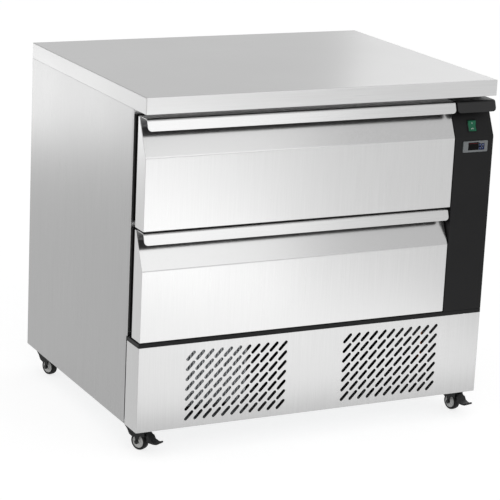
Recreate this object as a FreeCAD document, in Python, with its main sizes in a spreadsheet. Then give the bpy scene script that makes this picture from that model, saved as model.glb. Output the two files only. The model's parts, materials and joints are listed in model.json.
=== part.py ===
# A refrigerated counter with two drawers and a control column, 905 x 700 x 840 mm, on four casters.
# Millimetres, +X to the right, -Y to the front, +Z up, origin on the floor under the middle.

import FreeCAD, Part
import Sketcher
import math
import os

doc = FreeCAD.newDocument("drawer_counter")
nodes = []

# Driving dimensions, in millimetres and degrees

DIMENSIONS = {
    # the whole counter
    "overall_width": 905,
    "overall_depth": 700,
    "overall_height": 840,
    "worktop_thickness": 38,
    "sheet": 2,
    "skirt_bottom": 64,
    "lip_reach": 4,
    "rear_wall_thickness": 50,
    "back_recess": 6,
    "floor_thickness": 50,
    "ceiling_thickness": 42,
    # drawer fronts
    "worktop_gap": 11,
    "drawer_height": 254,
    "drawer_pitch": 259,
    "drawer_side_gap": 2,
    "drawer_width": 795.5,
    "drawer_depth": 52,
    "seal_gap": 14,
    "bend_drop": 86.5,
    "slope_run": 40,
    "slope_height": 84.5,
    "lip_height": 26.65,
    "lip_lean": 9,
    "lip_inset": 3,
    "lip_corner": 9,
    "inner_panel": 6,
    "plug_depth": 32,
    "seal_inset": 0.5,
    "seal_inset_below": 11,
    "seal_width": 16,
    "running_gap": 0.3,
    # drawer openings and what slides in them
    "opening_margin": 31.5,
    "opening_margin_below": 34,
    "bay_left": 50,
    "bay_width": 700,
    "frame_depth": 40,
    "frame_edge": 6,
    "box_length": 540,
    "box_height": 168,
    "box_floor_gap": 6,
    "box_rim": 10,
    "box_sheet": 1.5,
    "rail_length": 530,
    "rail_height": 46,
    "rail_sheet": 1.5,
    "rail_rise": 60,
    "rail_total": 21,
    # control column
    "column_gap": 2,
    "column_wall": 3,
    "switch_x": 396.5,
    "switch_up": 25,
    "switch_width": 26,
    "switch_length": 33,
    "rocker_angle": 8,
    "thermostat_x": 402,
    "thermostat_z": 682,
    "thermostat_width": 68,
    "thermostat_height": 27,
    "window_offset": -6,
    "window_width": 29,
    "window_height": 18,
    "key_size": 6,
    "key_pitch": 7.6,
    "key_offset": 15.8,
    # lower panel with its slots
    "trim_height": 10,
    "trim_top": 276,
    "slot_run": 15.5,
    "slot_rise": 16,
    "slot_width": 7.6,
    "slot_pitch_x": 23.6,
    "slot_pitch_z": 24,
    "slot_columns": 11,
    "slot_rows": 7,
    "slot_first_x": -329,
    "slot_first_z": 84,
    "slot_field_pitch": 407.5,
    # casters
    "caster_height": 72,
    "pan_edge": 7,
    "caster_x": 424,
    "caster_front_y": -268,
    "caster_rear_y": 300,
    "caster_trail": 20,
    "wheel_radius": 21,
    "wheel_width": 17,
    "hub_radius": 15.5,
    "axle_radius": 3,
    "fork_width": 27,
    "fork_gap": 20.6,
    "plate_size": 46,
    "plate_hole_pitch": 34,
    "plate_hole_radius": 3,
    "swivel_front_left": -62,
    "swivel_front_right": -78,
    "swivel_rear": -70,
    "pedal_x": 38,
    "pedal_z": 44,
    # cooling parts
    "coil_fins": 22,
    "condenser_fan_radius": 74,
    "evaporator_fan_radius": 46,
    "blade_pitch": 24,
    "pipe_radius": 4,
    "pipe_bend": 14,
}

sheet = doc.addObject("Spreadsheet::Sheet", "Dims")
for row, (alias, number) in enumerate(DIMENSIONS.items(), 1):
    sheet.set(f"A{row}", alias)
    sheet.set(f"B{row}", str(number))
    sheet.setAlias(f"B{row}", alias)
doc.recompute()

# Places that several pieces share, each worked out from the driving dimensions

LEFT = "(-Dims.overall_width / 2)"
RIGHT = "(Dims.overall_width / 2)"
BACK = "(Dims.overall_depth / 2)"
FRONT = "(-Dims.overall_depth / 2 + Dims.lip_reach)"
FRAME_Y = f"({FRONT} + Dims.drawer_depth + Dims.seal_gap)"
FRAME_BACK = f"({FRAME_Y} + Dims.frame_depth)"
PANEL_Y = f"({FRAME_Y} + Dims.frame_edge)"
BACK_SHEET = f"({BACK} - Dims.back_recess - Dims.sheet)"
BAY_BACK = f"({BACK_SHEET} - Dims.rear_wall_thickness)"
UNDER_TOP = "(Dims.overall_height - Dims.worktop_thickness)"
BAY_LEFT = f"({LEFT} + Dims.bay_left)"
BAY_RIGHT = f"({BAY_LEFT} + Dims.bay_width)"
DRAWER_LEFT = f"({LEFT} + Dims.drawer_side_gap)"
DRAWER_RIGHT = f"({DRAWER_LEFT} + Dims.drawer_width)"
COLUMN_LEFT = f"({DRAWER_RIGHT} + Dims.column_gap)"
DRAWER_TOPS = {
    "drawer_1": f"({UNDER_TOP} - Dims.worktop_gap)",
    "drawer_2": f"({UNDER_TOP} - Dims.worktop_gap - Dims.drawer_pitch)",
}
LEAN = "atan(Dims.slope_run / Dims.slope_height)"


def opening_bottom(top):
    return f"({top} - Dims.drawer_height + Dims.opening_margin_below)"


def opening_top(top):
    return f"({top} - Dims.opening_margin - 0.5)"


FLOOR_TOP = opening_bottom(DRAWER_TOPS["drawer_2"])
FLOOR_UNDER = f"({FLOOR_TOP} - Dims.floor_thickness)"
BASE_TOP = "(Dims.caster_height + Dims.sheet)"

# the steel box in each drawer, and the half heights of the nested slide members
BOX_LEFT = f"({BAY_LEFT} + Dims.rail_total)"
BOX_RIGHT = f"({BAY_RIGHT} - Dims.rail_total)"
BOX_FRONT = f"({FRONT} + Dims.drawer_depth + Dims.plug_depth)"
FIXED_HALF = "(Dims.rail_height / 2)"
MIDDLE_HALF = "(Dims.rail_height / 2 - Dims.rail_sheet - Dims.running_gap)"
INNER_HALF = "(Dims.rail_height / 2 - 2 * Dims.rail_sheet - 2 * Dims.running_gap)"
RAIL_START = f"({FRAME_BACK} + 2)"

# the switch on the column's slope
SLOPE_TURN = f"90 - {LEAN} / 1 deg"
SWITCH_PLACE = (
    "Dims.switch_x",
    f"{FRONT} + Dims.switch_up * Dims.slope_run / Dims.slope_height",
    f"{DRAWER_TOPS['drawer_1']} - Dims.bend_drop + Dims.switch_up",
)

# cooling parts and the cord's gland
GLAND_X = "-360"
GLAND_Z = "110"
COMPRESSOR = {"x": "150", "y": "120", "height": "150", "stub": "14"}
CONDENSER = {"x": "-240", "y": "-262", "z": "92", "width": "176", "depth": "52", "height": "146"}
CONDENSER_FAN_Y = "-196"
CONDENSER_FAN_Z = "165"
EVAPORATOR_X = f"({BAY_RIGHT} + 74)"
EVAPORATOR = {"x": EVAPORATOR_X, "y": "-60", "z": "360", "width": "300", "depth": "44", "height": "330"}
EVAPORATOR_FAN_Y = "160"
EVAPORATOR_FAN_Z = f"({opening_bottom(DRAWER_TOPS['drawer_1'])} - 36)"
HEADER_OFFSET = "4"
HEADER_OVERHANG = "2"
PIPE_PLACES = [
    f"{EVAPORATOR['y']} {side} ({EVAPORATOR['width']} / 2 + {HEADER_OFFSET})" for side in ("+", "-")
]


def value(expression):
    """The number that an expression of the driving dimensions gives."""
    found = sheet.evalExpression(str(expression))
    return float(getattr(found, "Value", found))


# Ways of making a piece

PLANES = {"XY": ("XY_Plane", 1), "XZ": ("XZ_Plane", -1), "YZ": ("YZ_Plane", 1)}


def new_body(name):
    body = doc.addObject("PartDesign::Body", name)
    body.Label = name
    nodes.append(body)
    return body


def new_sketch(body, name, plane, start="0"):
    """A sketch across one of the body's planes, at a distance along the positive axis."""
    role, sign = PLANES[plane]
    sketch = body.newObject("Sketcher::SketchObject", name)
    support = next(feature for feature in body.Origin.OriginFeatures if feature.Role == role)
    sketch.AttachmentSupport = [(support, "")]
    sketch.MapMode = "FlatFace"
    sketch.setExpression("AttachmentOffset.Base.z", start if sign > 0 else f"-({start})")
    return sketch


def tie(sketch, kind, *where, to):
    """Ties a sketch dimension to an expression."""
    number = sketch.addConstraint(Sketcher.Constraint(kind, *where, value(to)))
    sketch.setExpression(f"Constraints[{number}]", to)


def add_polygon(sketch, points):
    """A closed outline through points given as pairs of expressions."""
    first, count = sketch.GeometryCount, len(points)
    places = [FreeCAD.Vector(value(across), value(up), 0) for across, up in points]
    for i in range(count):
        sketch.addGeometry(Part.LineSegment(places[i], places[(i + 1) % count]), False)
    for i in range(count):
        sketch.addConstraint(Sketcher.Constraint("Coincident", first + i, 2, first + (i + 1) % count, 1))
    for i, (across, up) in enumerate(points):
        tie(sketch, "DistanceX", -1, 1, first + i, 1, to=str(across))
        tie(sketch, "DistanceY", -1, 1, first + i, 1, to=str(up))


def add_circle(sketch, across, up, radius):
    centre = FreeCAD.Vector(value(across), value(up), 0)
    circle = Part.Circle(centre, FreeCAD.Vector(0, 0, 1), value(radius))
    number = sketch.addGeometry(circle, False)
    tie(sketch, "DistanceX", -1, 1, number, 3, to=str(across))
    tie(sketch, "DistanceY", -1, 1, number, 3, to=str(up))
    tie(sketch, "Radius", number, to=str(radius))


def rectangle(across_from, across_to, up_from, up_to):
    return [(across_from, up_from), (across_to, up_from), (across_to, up_to), (across_from, up_to)]


def square(across, up, half):
    return rectangle(f"{across} - {half}", f"{across} + {half}", f"{up} - {half}", f"{up} + {half}")


def draw(sketch, loops):
    """Draws loops: lists of points, or (across, up, radius) for a circle."""
    for loop in loops:
        if isinstance(loop, tuple):
            add_circle(sketch, *loop)
        else:
            add_polygon(sketch, loop)


def extrude(body, kind, name, plane, loops, start, length, middle=False):
    """A Pad or Pocket of the loops, from start along the positive axis, or half each way from start."""
    sketch = new_sketch(body, f"{name}_outline", plane, start)
    draw(sketch, loops)
    feature = body.newObject(f"PartDesign::{kind}", name)
    feature.Profile = sketch
    feature.setExpression("Length", length)
    if middle:
        feature.Midplane = True
    else:
        feature.Reversed = (PLANES[plane][1] > 0) == (kind == "Pocket")
    sketch.Visibility = False
    doc.recompute()
    return feature


def pad(body, name, plane, loops, start, length, middle=False):
    return extrude(body, "Pad", name, plane, loops, start, length, middle)


def pocket(body, name, plane, loops, start, length, middle=False):
    """A Pad's counterpart, which has to take something away."""
    before = body.Shape.Volume
    feature = extrude(body, "Pocket", name, plane, loops, start, length, middle)
    if body.Shape.Volume > before - 1:
        raise RuntimeError(f"{name} of {body.Label} cut nothing")
    return feature


def revolve(body, name, plane, points):
    """A full turn of the outline about the sketch's upright axis."""
    sketch = new_sketch(body, f"{name}_outline", plane)
    draw(sketch, [points])
    feature = body.newObject("PartDesign::Revolution", name)
    feature.Profile = sketch
    feature.ReferenceAxis = (sketch, ["V_Axis"])
    feature.Angle = 360
    doc.recompute()
    return feature


def round_edges(body, name, radius, wanted, kind="Fillet"):
    """Rounds or chamfers the edges whose midpoint the wanted test accepts."""
    base = body.Tip
    chosen = []
    for i, edge in enumerate(base.Shape.Edges, 1):
        middle = edge.valueAt((edge.FirstParameter + edge.LastParameter) / 2)
        if wanted(middle, edge):
            chosen.append(f"Edge{i}")
    if not chosen:
        raise RuntimeError(f"{name} of {body.Label} found no edge")
    feature = body.newObject(f"PartDesign::{kind}", name)
    feature.Base = (base, chosen)
    feature.setExpression("Radius" if kind == "Fillet" else "Size", str(radius))
    doc.recompute()
    return feature


def repeat(body, name, originals, rows):
    """Repeats features along sketch axes: rows of (sketch, axis, pitch, count)."""
    transform = body.newObject("PartDesign::MultiTransform", name)
    patterns = []
    for i, (sketch, axis, pitch, count) in enumerate(rows):
        pattern = body.newObject("PartDesign::LinearPattern", f"{name}_{i}")
        pattern.Direction = (sketch, [axis])
        pattern.setExpression("Occurrences", count)
        pattern.setExpression("Length", f"{pitch} * ({count} - 1)")
        patterns.append(pattern)
    transform.Originals = originals
    transform.Transformations = patterns
    body.Tip = transform
    doc.recompute()


def polar(body, name, originals, axis, count):
    """Repeats features about one of the body's own axes."""
    pattern = body.newObject("PartDesign::PolarPattern", name)
    line = next(feature for feature in body.Origin.OriginFeatures if feature.Role == axis)
    pattern.Originals = originals
    pattern.Axis = (line, [""])
    pattern.Angle = 360
    pattern.Occurrences = count
    body.Tip = pattern
    doc.recompute()


def box(name, across, deep, high):
    """A box given by pairs of expressions, from and to along each axis."""
    part = doc.addObject("Part::Box", name)
    part.Label = name
    for side, axis, (start, end) in zip(("Length", "Width", "Height"), "xyz", (across, deep, high)):
        part.setExpression(side, f"{end} - ({start})")
        part.setExpression(f"Placement.Base.{axis}", start)
    return part


def place(body, across="0", deep="0", high="0", axis=(0, 0, 1), angle="0"):
    """Puts a finished piece in its place, turned about an axis through its own origin."""
    body.Placement = FreeCAD.Placement(FreeCAD.Vector(), FreeCAD.Rotation(FreeCAD.Vector(*axis), 10))
    for name, expression in zip("xyz", (across, deep, high)):
        body.setExpression(f"Placement.Base.{name}", expression)
    body.setExpression("Placement.Rotation.Angle", angle)


# Outer casing


def worktop():
    """A slab folded from one sheet, its upper edges slightly rounded."""
    body = new_body("worktop")
    outline = rectangle(LEFT, RIGHT, FRONT, BACK)
    pad(body, "slab", "XY", [outline], UNDER_TOP, "Dims.worktop_thickness")
    top = value("Dims.overall_height")
    round_edges(body, "folds", "Dims.sheet", lambda middle, edge: middle.z > top - 0.1)


def side_panel(name, side):
    """A flat sheet with an inward fold at the back and at the bottom."""
    edge = LEFT if side < 0 else RIGHT
    inner = f"({edge} - {side} * Dims.sheet)"
    fold = f"({edge} - {side} * 6 * Dims.sheet)"
    section = [
        (edge, PANEL_Y),
        (edge, BACK),
        (fold, BACK),
        (fold, f"{BACK} - Dims.sheet"),
        (inner, f"{BACK} - Dims.sheet"),
        (inner, PANEL_Y),
    ]
    body = new_body(name)
    pad(body, "skin", "XY", [section], "Dims.skirt_bottom", f"{UNDER_TOP} - Dims.skirt_bottom")
    hem = rectangle(edge, f"({edge} - {side} * 3 * Dims.sheet)", PANEL_Y, BACK)
    pad(body, "hem", "XY", [hem], "Dims.skirt_bottom", "Dims.sheet")


def back_panel():
    """The rear sheet, with upright air slots behind the machine bay and a hole for the gland."""
    body = new_body("back_panel")
    side = f"({RIGHT} - Dims.sheet)"
    outline = rectangle(f"-{side}", side, "Dims.skirt_bottom + Dims.sheet", UNDER_TOP)
    pad(body, "skin", "XZ", [outline, (GLAND_X, GLAND_Z, "8.2")], BACK_SHEET, "Dims.sheet")
    slot = rectangle("-260", "-254", "100", "230")
    cut = pocket(body, "slot", "XZ", [slot], BACK_SHEET, "Dims.sheet")
    repeat(body, "slots", [cut], [(cut.Profile[0], "H_Axis", "22", "24")])


def cord_gland():
    """The bush that the supply cord passes: a flange outside and a neck through the sheet."""
    body = new_body("cord_gland")
    flange = f"({BACK_SHEET} + Dims.sheet)"
    centre = (GLAND_X, GLAND_Z)
    pad(body, "flange", "XZ", [(*centre, "13"), (*centre, "5")], flange, "5")
    pad(body, "neck", "XZ", [(*centre, "8"), (*centre, "5")], f"{flange} - 14", "14")


def base_plate():
    """The pan under the machine bay, with its edges turned up."""
    body = new_body("base_plate")
    left, right = f"({LEFT} + Dims.sheet)", f"({RIGHT} - Dims.sheet)"
    front, back = f"({FRONT} + Dims.sheet)", BACK_SHEET
    pad(body, "pan", "XY", [rectangle(left, right, front, back)], "Dims.caster_height", "Dims.pan_edge")
    across = (f"{left} + Dims.sheet", f"{right} - Dims.sheet")
    deep = (f"{front} + Dims.sheet", f"{back} - Dims.sheet")
    pocket(body, "hollow", "XY", [rectangle(*across, *deep)], BASE_TOP, "Dims.pan_edge - Dims.sheet")


def walls():
    """The foamed walls, round a bay that is open to the front. Right of it is the evaporator's duct."""
    left, right = f"{LEFT} + Dims.sheet", f"{RIGHT} - Dims.sheet"
    inner_left, inner_right = f"{LEFT} + Dims.bay_left", f"{RIGHT} - Dims.bay_left"
    deep, inside = (FRAME_BACK, BACK_SHEET), (FRAME_BACK, BAY_BACK)
    high, across = (FLOOR_UNDER, UNDER_TOP), (inner_left, inner_right)
    nodes.append(box("left_wall", (left, inner_left), deep, high))
    nodes.append(box("right_wall", (inner_right, right), deep, high))
    nodes.append(box("rear_wall", across, (BAY_BACK, BACK_SHEET), high))
    ceiling = box("insulated_ceiling", across, inside, (f"{UNDER_TOP} - Dims.ceiling_thickness", UNDER_TOP))
    nodes.append(ceiling)
    body = new_body("insulated_floor")
    pad(body, "slab", "XY", [rectangle(*across, *inside)], FLOOR_UNDER, "Dims.floor_thickness")
    holes = [(EVAPORATOR["x"], deep, "Dims.pipe_radius + 2") for deep in PIPE_PLACES]
    pocket(body, "pipe_holes", "XY", holes, FLOOR_UNDER, "Dims.floor_thickness")


def front_frame():
    """The bright frame that the seals press on, with an opening for each drawer."""
    body = new_body("front_frame")
    openings = [
        rectangle(BAY_LEFT, BAY_RIGHT, opening_bottom(top), opening_top(top)) for top in DRAWER_TOPS.values()
    ]
    face = rectangle(LEFT, RIGHT, "Dims.trim_top", UNDER_TOP)
    inner = rectangle(f"{LEFT} + Dims.sheet", f"{RIGHT} - Dims.sheet", "Dims.trim_top", UNDER_TOP)
    pad(body, "face", "XZ", [face, *openings], FRAME_Y, "Dims.frame_edge")
    pad(body, "body_part", "XZ", [inner, *openings], PANEL_Y, "Dims.frame_depth - Dims.frame_edge")


def lower_trim_strip():
    """A moulded ledge over the lower panel, hollow underneath."""
    body = new_body("lower_trim_strip")
    under = "Dims.trim_top - Dims.trim_height"
    pad(body, "ledge", "XY", [rectangle(LEFT, RIGHT, FRONT, FRAME_Y)], under, "Dims.trim_height")
    hollow = rectangle(
        f"{LEFT} + Dims.column_wall",
        f"{RIGHT} - Dims.column_wall",
        f"{FRONT} + Dims.column_wall",
        f"{FRAME_Y} - Dims.column_wall",
    )
    pocket(body, "underside", "XY", [hollow], under, "Dims.trim_height - Dims.column_wall")


def lower_front_panel():
    """A steel panel folded back at both ends, with two fields of slanted air slots."""
    body = new_body("lower_front_panel")
    front, back = FRONT, f"({PANEL_Y} - Dims.frame_edge)"
    inside = f"({FRONT} + Dims.sheet)"
    left, right = f"({LEFT} + Dims.sheet)", f"({RIGHT} - Dims.sheet)"
    section = [
        (LEFT, front),
        (RIGHT, front),
        (RIGHT, back),
        (right, back),
        (right, inside),
        (left, inside),
        (left, back),
        (LEFT, back),
    ]
    high = "Dims.trim_top - Dims.trim_height - Dims.skirt_bottom"
    pad(body, "skin", "XY", [section], "Dims.skirt_bottom", high)
    hem = rectangle(left, right, inside, f"{inside} + 5")
    pad(body, "hem", "XY", [hem], "Dims.skirt_bottom", "Dims.sheet")
    # one slot, its ends cut to blunt points, then repeated in rows, columns and two fields
    low_x, low_z = "Dims.slot_first_x", "Dims.slot_first_z"
    high_x, high_z = f"({low_x} + Dims.slot_run)", f"({low_z} + Dims.slot_rise)"
    half, tip = "(Dims.slot_width * 0.354)", "(Dims.slot_width * 0.36)"
    slot = [
        (f"{low_x} - {half}", f"{low_z} + {half}"),
        (f"{low_x} - {tip}", f"{low_z} - {tip}"),
        (f"{low_x} + {half}", f"{low_z} - {half}"),
        (f"{high_x} + {half}", f"{high_z} - {half}"),
        (f"{high_x} + {tip}", f"{high_z} + {tip}"),
        (f"{high_x} - {half}", f"{high_z} + {half}"),
    ]
    cut = pocket(body, "slot", "XZ", [slot], FRONT, "Dims.sheet")
    lines = cut.Profile[0]
    rows = [
        (lines, "H_Axis", "Dims.slot_pitch_x", "Dims.slot_columns"),
        (lines, "V_Axis", "Dims.slot_pitch_z", "Dims.slot_rows"),
        (lines, "H_Axis", "Dims.slot_field_pitch", "2"),
    ]
    repeat(body, "slots", [cut], rows)


# Drawers


def lip_section(top):
    """The fold at the top of a front: a plate that comes forward and turns down, leaning outwards."""
    outer_top = f"({FRONT} - Dims.lip_reach + Dims.lip_lean)"
    outer_low = f"({FRONT} - Dims.lip_reach)"
    inner_top = f"({outer_top} + 0.7 * Dims.sheet)"
    inner_low = f"({outer_low} + 0.95 * Dims.sheet)"
    low = f"({top} - Dims.lip_height)"
    plate_end = f"({FRONT} + Dims.slope_run + 4)"
    return [
        (outer_top, top),
        (plate_end, top),
        (plate_end, f"{top} - Dims.sheet"),
        (inner_top, f"{top} - Dims.sheet"),
        (inner_low, low),
        (outer_low, f"{low} + 0.33 * Dims.sheet"),
    ]


def front_profile(top, bottom, back):
    """Side view of a front: upright below the bend, sloped back above it."""
    bend = f"({top} - Dims.bend_drop)"
    return [
        (FRONT, bottom),
        (FRONT, bend),
        (f"{FRONT} + Dims.slope_run", f"{bend} + Dims.slope_height"),
        (f"{FRONT} + Dims.slope_run", top),
        (back, top),
        (back, bottom),
    ]


def round_lip(body, low):
    """Rounds the two lower corners of the fold, whose short edges run from front to back."""
    corner = value(low)
    round_edges(
        body,
        "lip_corners",
        "Dims.lip_corner",
        lambda middle, edge: abs(middle.z - corner) < 1 and edge.Length < 4,
    )


def drawer_front(name, top):
    body = new_body(f"{name}_front")
    bottom = f"({top} - Dims.drawer_height)"
    back = f"({FRONT} + Dims.drawer_depth - Dims.inner_panel)"
    pad(body, "shell", "YZ", [front_profile(top, bottom, back)], DRAWER_LEFT, "Dims.drawer_width")
    start = f"{DRAWER_LEFT} + Dims.lip_inset"
    pad(body, "pull_lip", "YZ", [lip_section(top)], start, "Dims.drawer_width - 2 * Dims.lip_inset")
    round_lip(body, f"{top} - Dims.lip_height")


def seal_ring(top, start, width):
    """The outer and inner outline of a ring, start in from the seal's edge. Below it sits higher."""
    bottom = f"({top} - Dims.drawer_height + Dims.seal_inset_below)"
    loops = []
    for extra in (start, f"({start} + {width})"):
        inset = f"(Dims.seal_inset + {extra})"
        across = (f"{DRAWER_LEFT} + {inset}", f"{DRAWER_RIGHT} - {inset}")
        loops.append(rectangle(*across, f"{bottom} + {extra}", f"{top} - {inset}"))
    return loops


def drawer_inner_panel(name, top):
    """The pressed panel that closes a front, with a plug that enters the opening."""
    body = new_body(f"{name}_inner_panel")
    bottom = f"({top} - Dims.drawer_height)"
    start = f"({FRONT} + Dims.drawer_depth - Dims.inner_panel)"
    plate = rectangle(f"{DRAWER_LEFT} + 4", f"{DRAWER_RIGHT} - 4", f"{bottom} + 4", f"{top} - 4")
    pad(body, "plate", "XZ", [plate], start, "Dims.inner_panel")
    plug = rectangle(
        f"{BAY_LEFT} + 6", f"{BAY_RIGHT} - 6", f"{opening_bottom(top)} + 6", f"{opening_top(top)} - 6"
    )
    pad(body, "plug", "XZ", [plug], f"{start} + Dims.inner_panel", "Dims.plug_depth")
    deepest = value(f"{start} + Dims.inner_panel + Dims.plug_depth")
    round_edges(body, "plug_edge", "4", lambda middle, edge: middle.y > deepest - 0.1, "Chamfer")


def drawer_gasket(name, top):
    """A hollow seal with a foot, a waist and a flat head that stops short of the frame."""
    body = new_body(f"{name}_gasket")
    start = f"({FRONT} + Dims.drawer_depth)"
    head = "(Dims.seal_gap - 8 - Dims.running_gap)"
    foot, waist = seal_ring(top, "4", "(Dims.seal_width - 7)"), seal_ring(top, "5", "(Dims.seal_width - 9)")
    pad(body, "foot", "XZ", foot, start, "4")
    pad(body, "waist", "XZ", waist, f"{start} + 4", "4")
    pad(body, "head", "XZ", seal_ring(top, "0", "Dims.seal_width"), f"{start} + 8", head)


def drawer_box(name, top):
    """The steel box behind a front, folded out along its upper edge."""
    body = new_body(f"{name}_box")
    floor = f"({opening_bottom(top)} + Dims.box_floor_gap)"
    back = f"({BOX_FRONT} + Dims.box_length)"
    wall = "Dims.box_sheet"
    pad(body, "block", "XY", [rectangle(BOX_LEFT, BOX_RIGHT, BOX_FRONT, back)], floor, "Dims.box_height")
    rim = rectangle(f"{BOX_LEFT} - Dims.box_rim", f"{BOX_RIGHT} + Dims.box_rim", BOX_FRONT, back)
    pad(body, "rim", "XY", [rim], f"{floor} + Dims.box_height - {wall}", wall)
    across = (f"{BOX_LEFT} + {wall}", f"{BOX_RIGHT} - {wall}")
    deep = (f"{BOX_FRONT} + {wall}", f"{back} - {wall}")
    inside = rectangle(*across, *deep)
    pocket(body, "hollow", "XY", [inside], f"{floor} + {wall}", f"Dims.box_height - {wall}")


# Slides: three channels nested in one another, on both sides of each drawer


def channel(side, near, far, half_height, middle):
    """A C section that opens from near towards far, both measured from the bay's wall."""
    wall = BAY_LEFT if side > 0 else BAY_RIGHT
    sign = "+" if side > 0 else "-"
    back = f"({wall} {sign} {near})"
    edge = f"({wall} {sign} {far})"
    step = "1" if value(far) > value(near) else "-1"
    web = f"({wall} {sign} ({near} + {step} * Dims.rail_sheet))"
    outer, inner = f"({half_height})", f"({half_height} - Dims.rail_sheet)"
    return [
        (back, f"{middle} - {outer}"),
        (edge, f"{middle} - {outer}"),
        (edge, f"{middle} - {inner}"),
        (web, f"{middle} - {inner}"),
        (web, f"{middle} + {inner}"),
        (edge, f"{middle} + {inner}"),
        (edge, f"{middle} + {outer}"),
        (back, f"{middle} + {outer}"),
    ]


def rail_middle(top):
    return f"({opening_bottom(top)} + Dims.rail_rise)"


def rail_pair(name, tops, near, far, half_height):
    """The left and right members of a slide, as separate solids of one piece."""
    body = new_body(name)
    loops = [channel(side, near, far, half_height, rail_middle(top)) for top in tops for side in (1, -1)]
    pad(body, "members", "XZ", loops, RAIL_START, "Dims.rail_length")


def drawer(name, top):
    drawer_front(name, top)
    drawer_inner_panel(name, top)
    drawer_gasket(name, top)
    drawer_box(name, top)
    rail_pair(f"{name}_middle_rails", [top], "3", "16", MIDDLE_HALF)
    rail_pair(f"{name}_inner_rails", [top], "Dims.rail_total", "6", INNER_HALF)


# Control column with its switch and thermostat


def control_column():
    """A moulded cover with the profile of the fronts, open at the back."""
    body = new_body("control_column")
    top = DRAWER_TOPS["drawer_1"]
    bend = f"({top} - Dims.bend_drop)"
    wall = "Dims.column_wall"
    outer = front_profile(top, "Dims.trim_top", FRAME_Y)
    pad(body, "shell", "YZ", [outer], COLUMN_LEFT, f"{RIGHT} - {COLUMN_LEFT}")
    pad(body, "pull_lip", "YZ", [lip_section(top)], COLUMN_LEFT, f"{RIGHT} - {COLUMN_LEFT}")
    slant = f"{wall} / cos({LEAN})"
    fall = "Dims.slope_run / Dims.slope_height"
    crown = f"({top} - {wall} - 2)"
    inner = [
        (f"{FRONT} + {wall}", f"Dims.trim_top + {wall}"),
        (f"{FRONT} + {wall}", f"{bend} - ({slant} - {wall}) / ({fall})"),
        (f"{FRONT} + {fall} * ({crown} - {bend}) + {slant}", crown),
        (FRAME_Y, crown),
        (FRAME_Y, f"Dims.trim_top + {wall}"),
    ]
    pocket(body, "hollow", "YZ", [inner], f"{COLUMN_LEFT} + {wall}", f"{RIGHT} - {COLUMN_LEFT} - 2 * {wall}")
    round_lip(body, f"{top} - Dims.lip_height")
    # the cut-out that the thermostat's body passes
    window = rectangle(
        "Dims.thermostat_x - Dims.thermostat_width / 2 + 3",
        "Dims.thermostat_x + Dims.thermostat_width / 2 - 3",
        "Dims.thermostat_z - Dims.thermostat_height / 2 + 2",
        "Dims.thermostat_z + Dims.thermostat_height / 2 - 2",
    )
    pocket(body, "thermostat_cutout", "XZ", [window], FRONT, "8")
    # the cut-out for the switch, square to the slope
    cutter = new_sketch(body, "switch_outline", "XY")
    cutter.MapMode = "Deactivated"
    cutter.Placement = FreeCAD.Placement(FreeCAD.Vector(), FreeCAD.Rotation(FreeCAD.Vector(1, 0, 0), 10))
    for axis, expression in zip("xyz", SWITCH_PLACE):
        cutter.setExpression(f"Placement.Base.{axis}", expression)
    cutter.setExpression("Placement.Rotation.Angle", SLOPE_TURN)
    half_x, half_y = "(Dims.switch_width / 2 - 1)", "(Dims.switch_length / 2 - 1)"
    draw(cutter, [rectangle(f"-{half_x}", half_x, f"-{half_y}", half_y)])
    hole = body.newObject("PartDesign::Pocket", "switch_cutout")
    hole.Profile = cutter
    hole.Length = 12
    hole.Midplane = True
    before = body.Shape.Volume
    doc.recompute()
    if body.Shape.Volume > before - 1:
        raise RuntimeError("the switch cut-out cut nothing")


def switch_housing():
    """The snap-in frame on the slope, with a well for the rocker."""
    body = new_body("switch_housing")
    half_x, half_y = "(Dims.switch_width / 2)", "(Dims.switch_length / 2)"
    well = rectangle(f"2.2 - {half_x}", f"{half_x} - 2.2", f"2.2 - {half_y}", f"{half_y} - 2.2")
    pad(body, "frame", "XY", [rectangle(f"-{half_x}", half_x, f"-{half_y}", half_y), well], "0", "1.5")
    outside = rectangle(f"1.2 - {half_x}", f"{half_x} - 1.2", f"1.2 - {half_y}", f"{half_y} - 1.2")
    pad(body, "case", "XY", [outside, well], "-14", "14")
    pad(body, "floor", "XY", [outside], "-22", "8")
    terminals = [rectangle("-4", "-3.2", "-8", "-3"), rectangle("-4", "-3.2", "3", "8")]
    pad(body, "terminals", "XY", terminals, "-30", "8")
    place(body, *SWITCH_PLACE, (1, 0, 0), SLOPE_TURN)


def power_rocker():
    """The rocker, its ends on a circle about the pivot so that it turns freely in the well."""
    body = new_body("power_rocker")
    reach = value("Dims.switch_length / 2 - 2.5")
    turns = [math.radians(degrees) for degrees in (25, 0, -40)]
    section = [(f"{reach * math.cos(turn)}", f"{reach * math.sin(turn)}") for turn in turns]
    section += [(f"-{across}", up) for across, up in reversed(section)]
    section.append(("0", "3.6"))
    pad(body, "key", "YZ", [section], "0", "Dims.switch_width - 5", middle=True)
    turn = f"{SLOPE_TURN} + Dims.rocker_angle"
    deep = f"{SWITCH_PLACE[1]} + 3 * cos({LEAN})"
    high = f"{SWITCH_PLACE[2]} - 3 * sin({LEAN})"
    place(body, SWITCH_PLACE[0], deep, high, (1, 0, 0), turn)


def key_places():
    """Where the four keys sit, as pairs of expressions."""
    half = "Dims.key_pitch / 2"
    centre = "Dims.thermostat_x + Dims.key_offset"
    return [
        (f"{centre} {across} {half}", f"Dims.thermostat_z {up} {half}")
        for up in ("+", "-")
        for across in ("-", "+")
    ]


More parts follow.
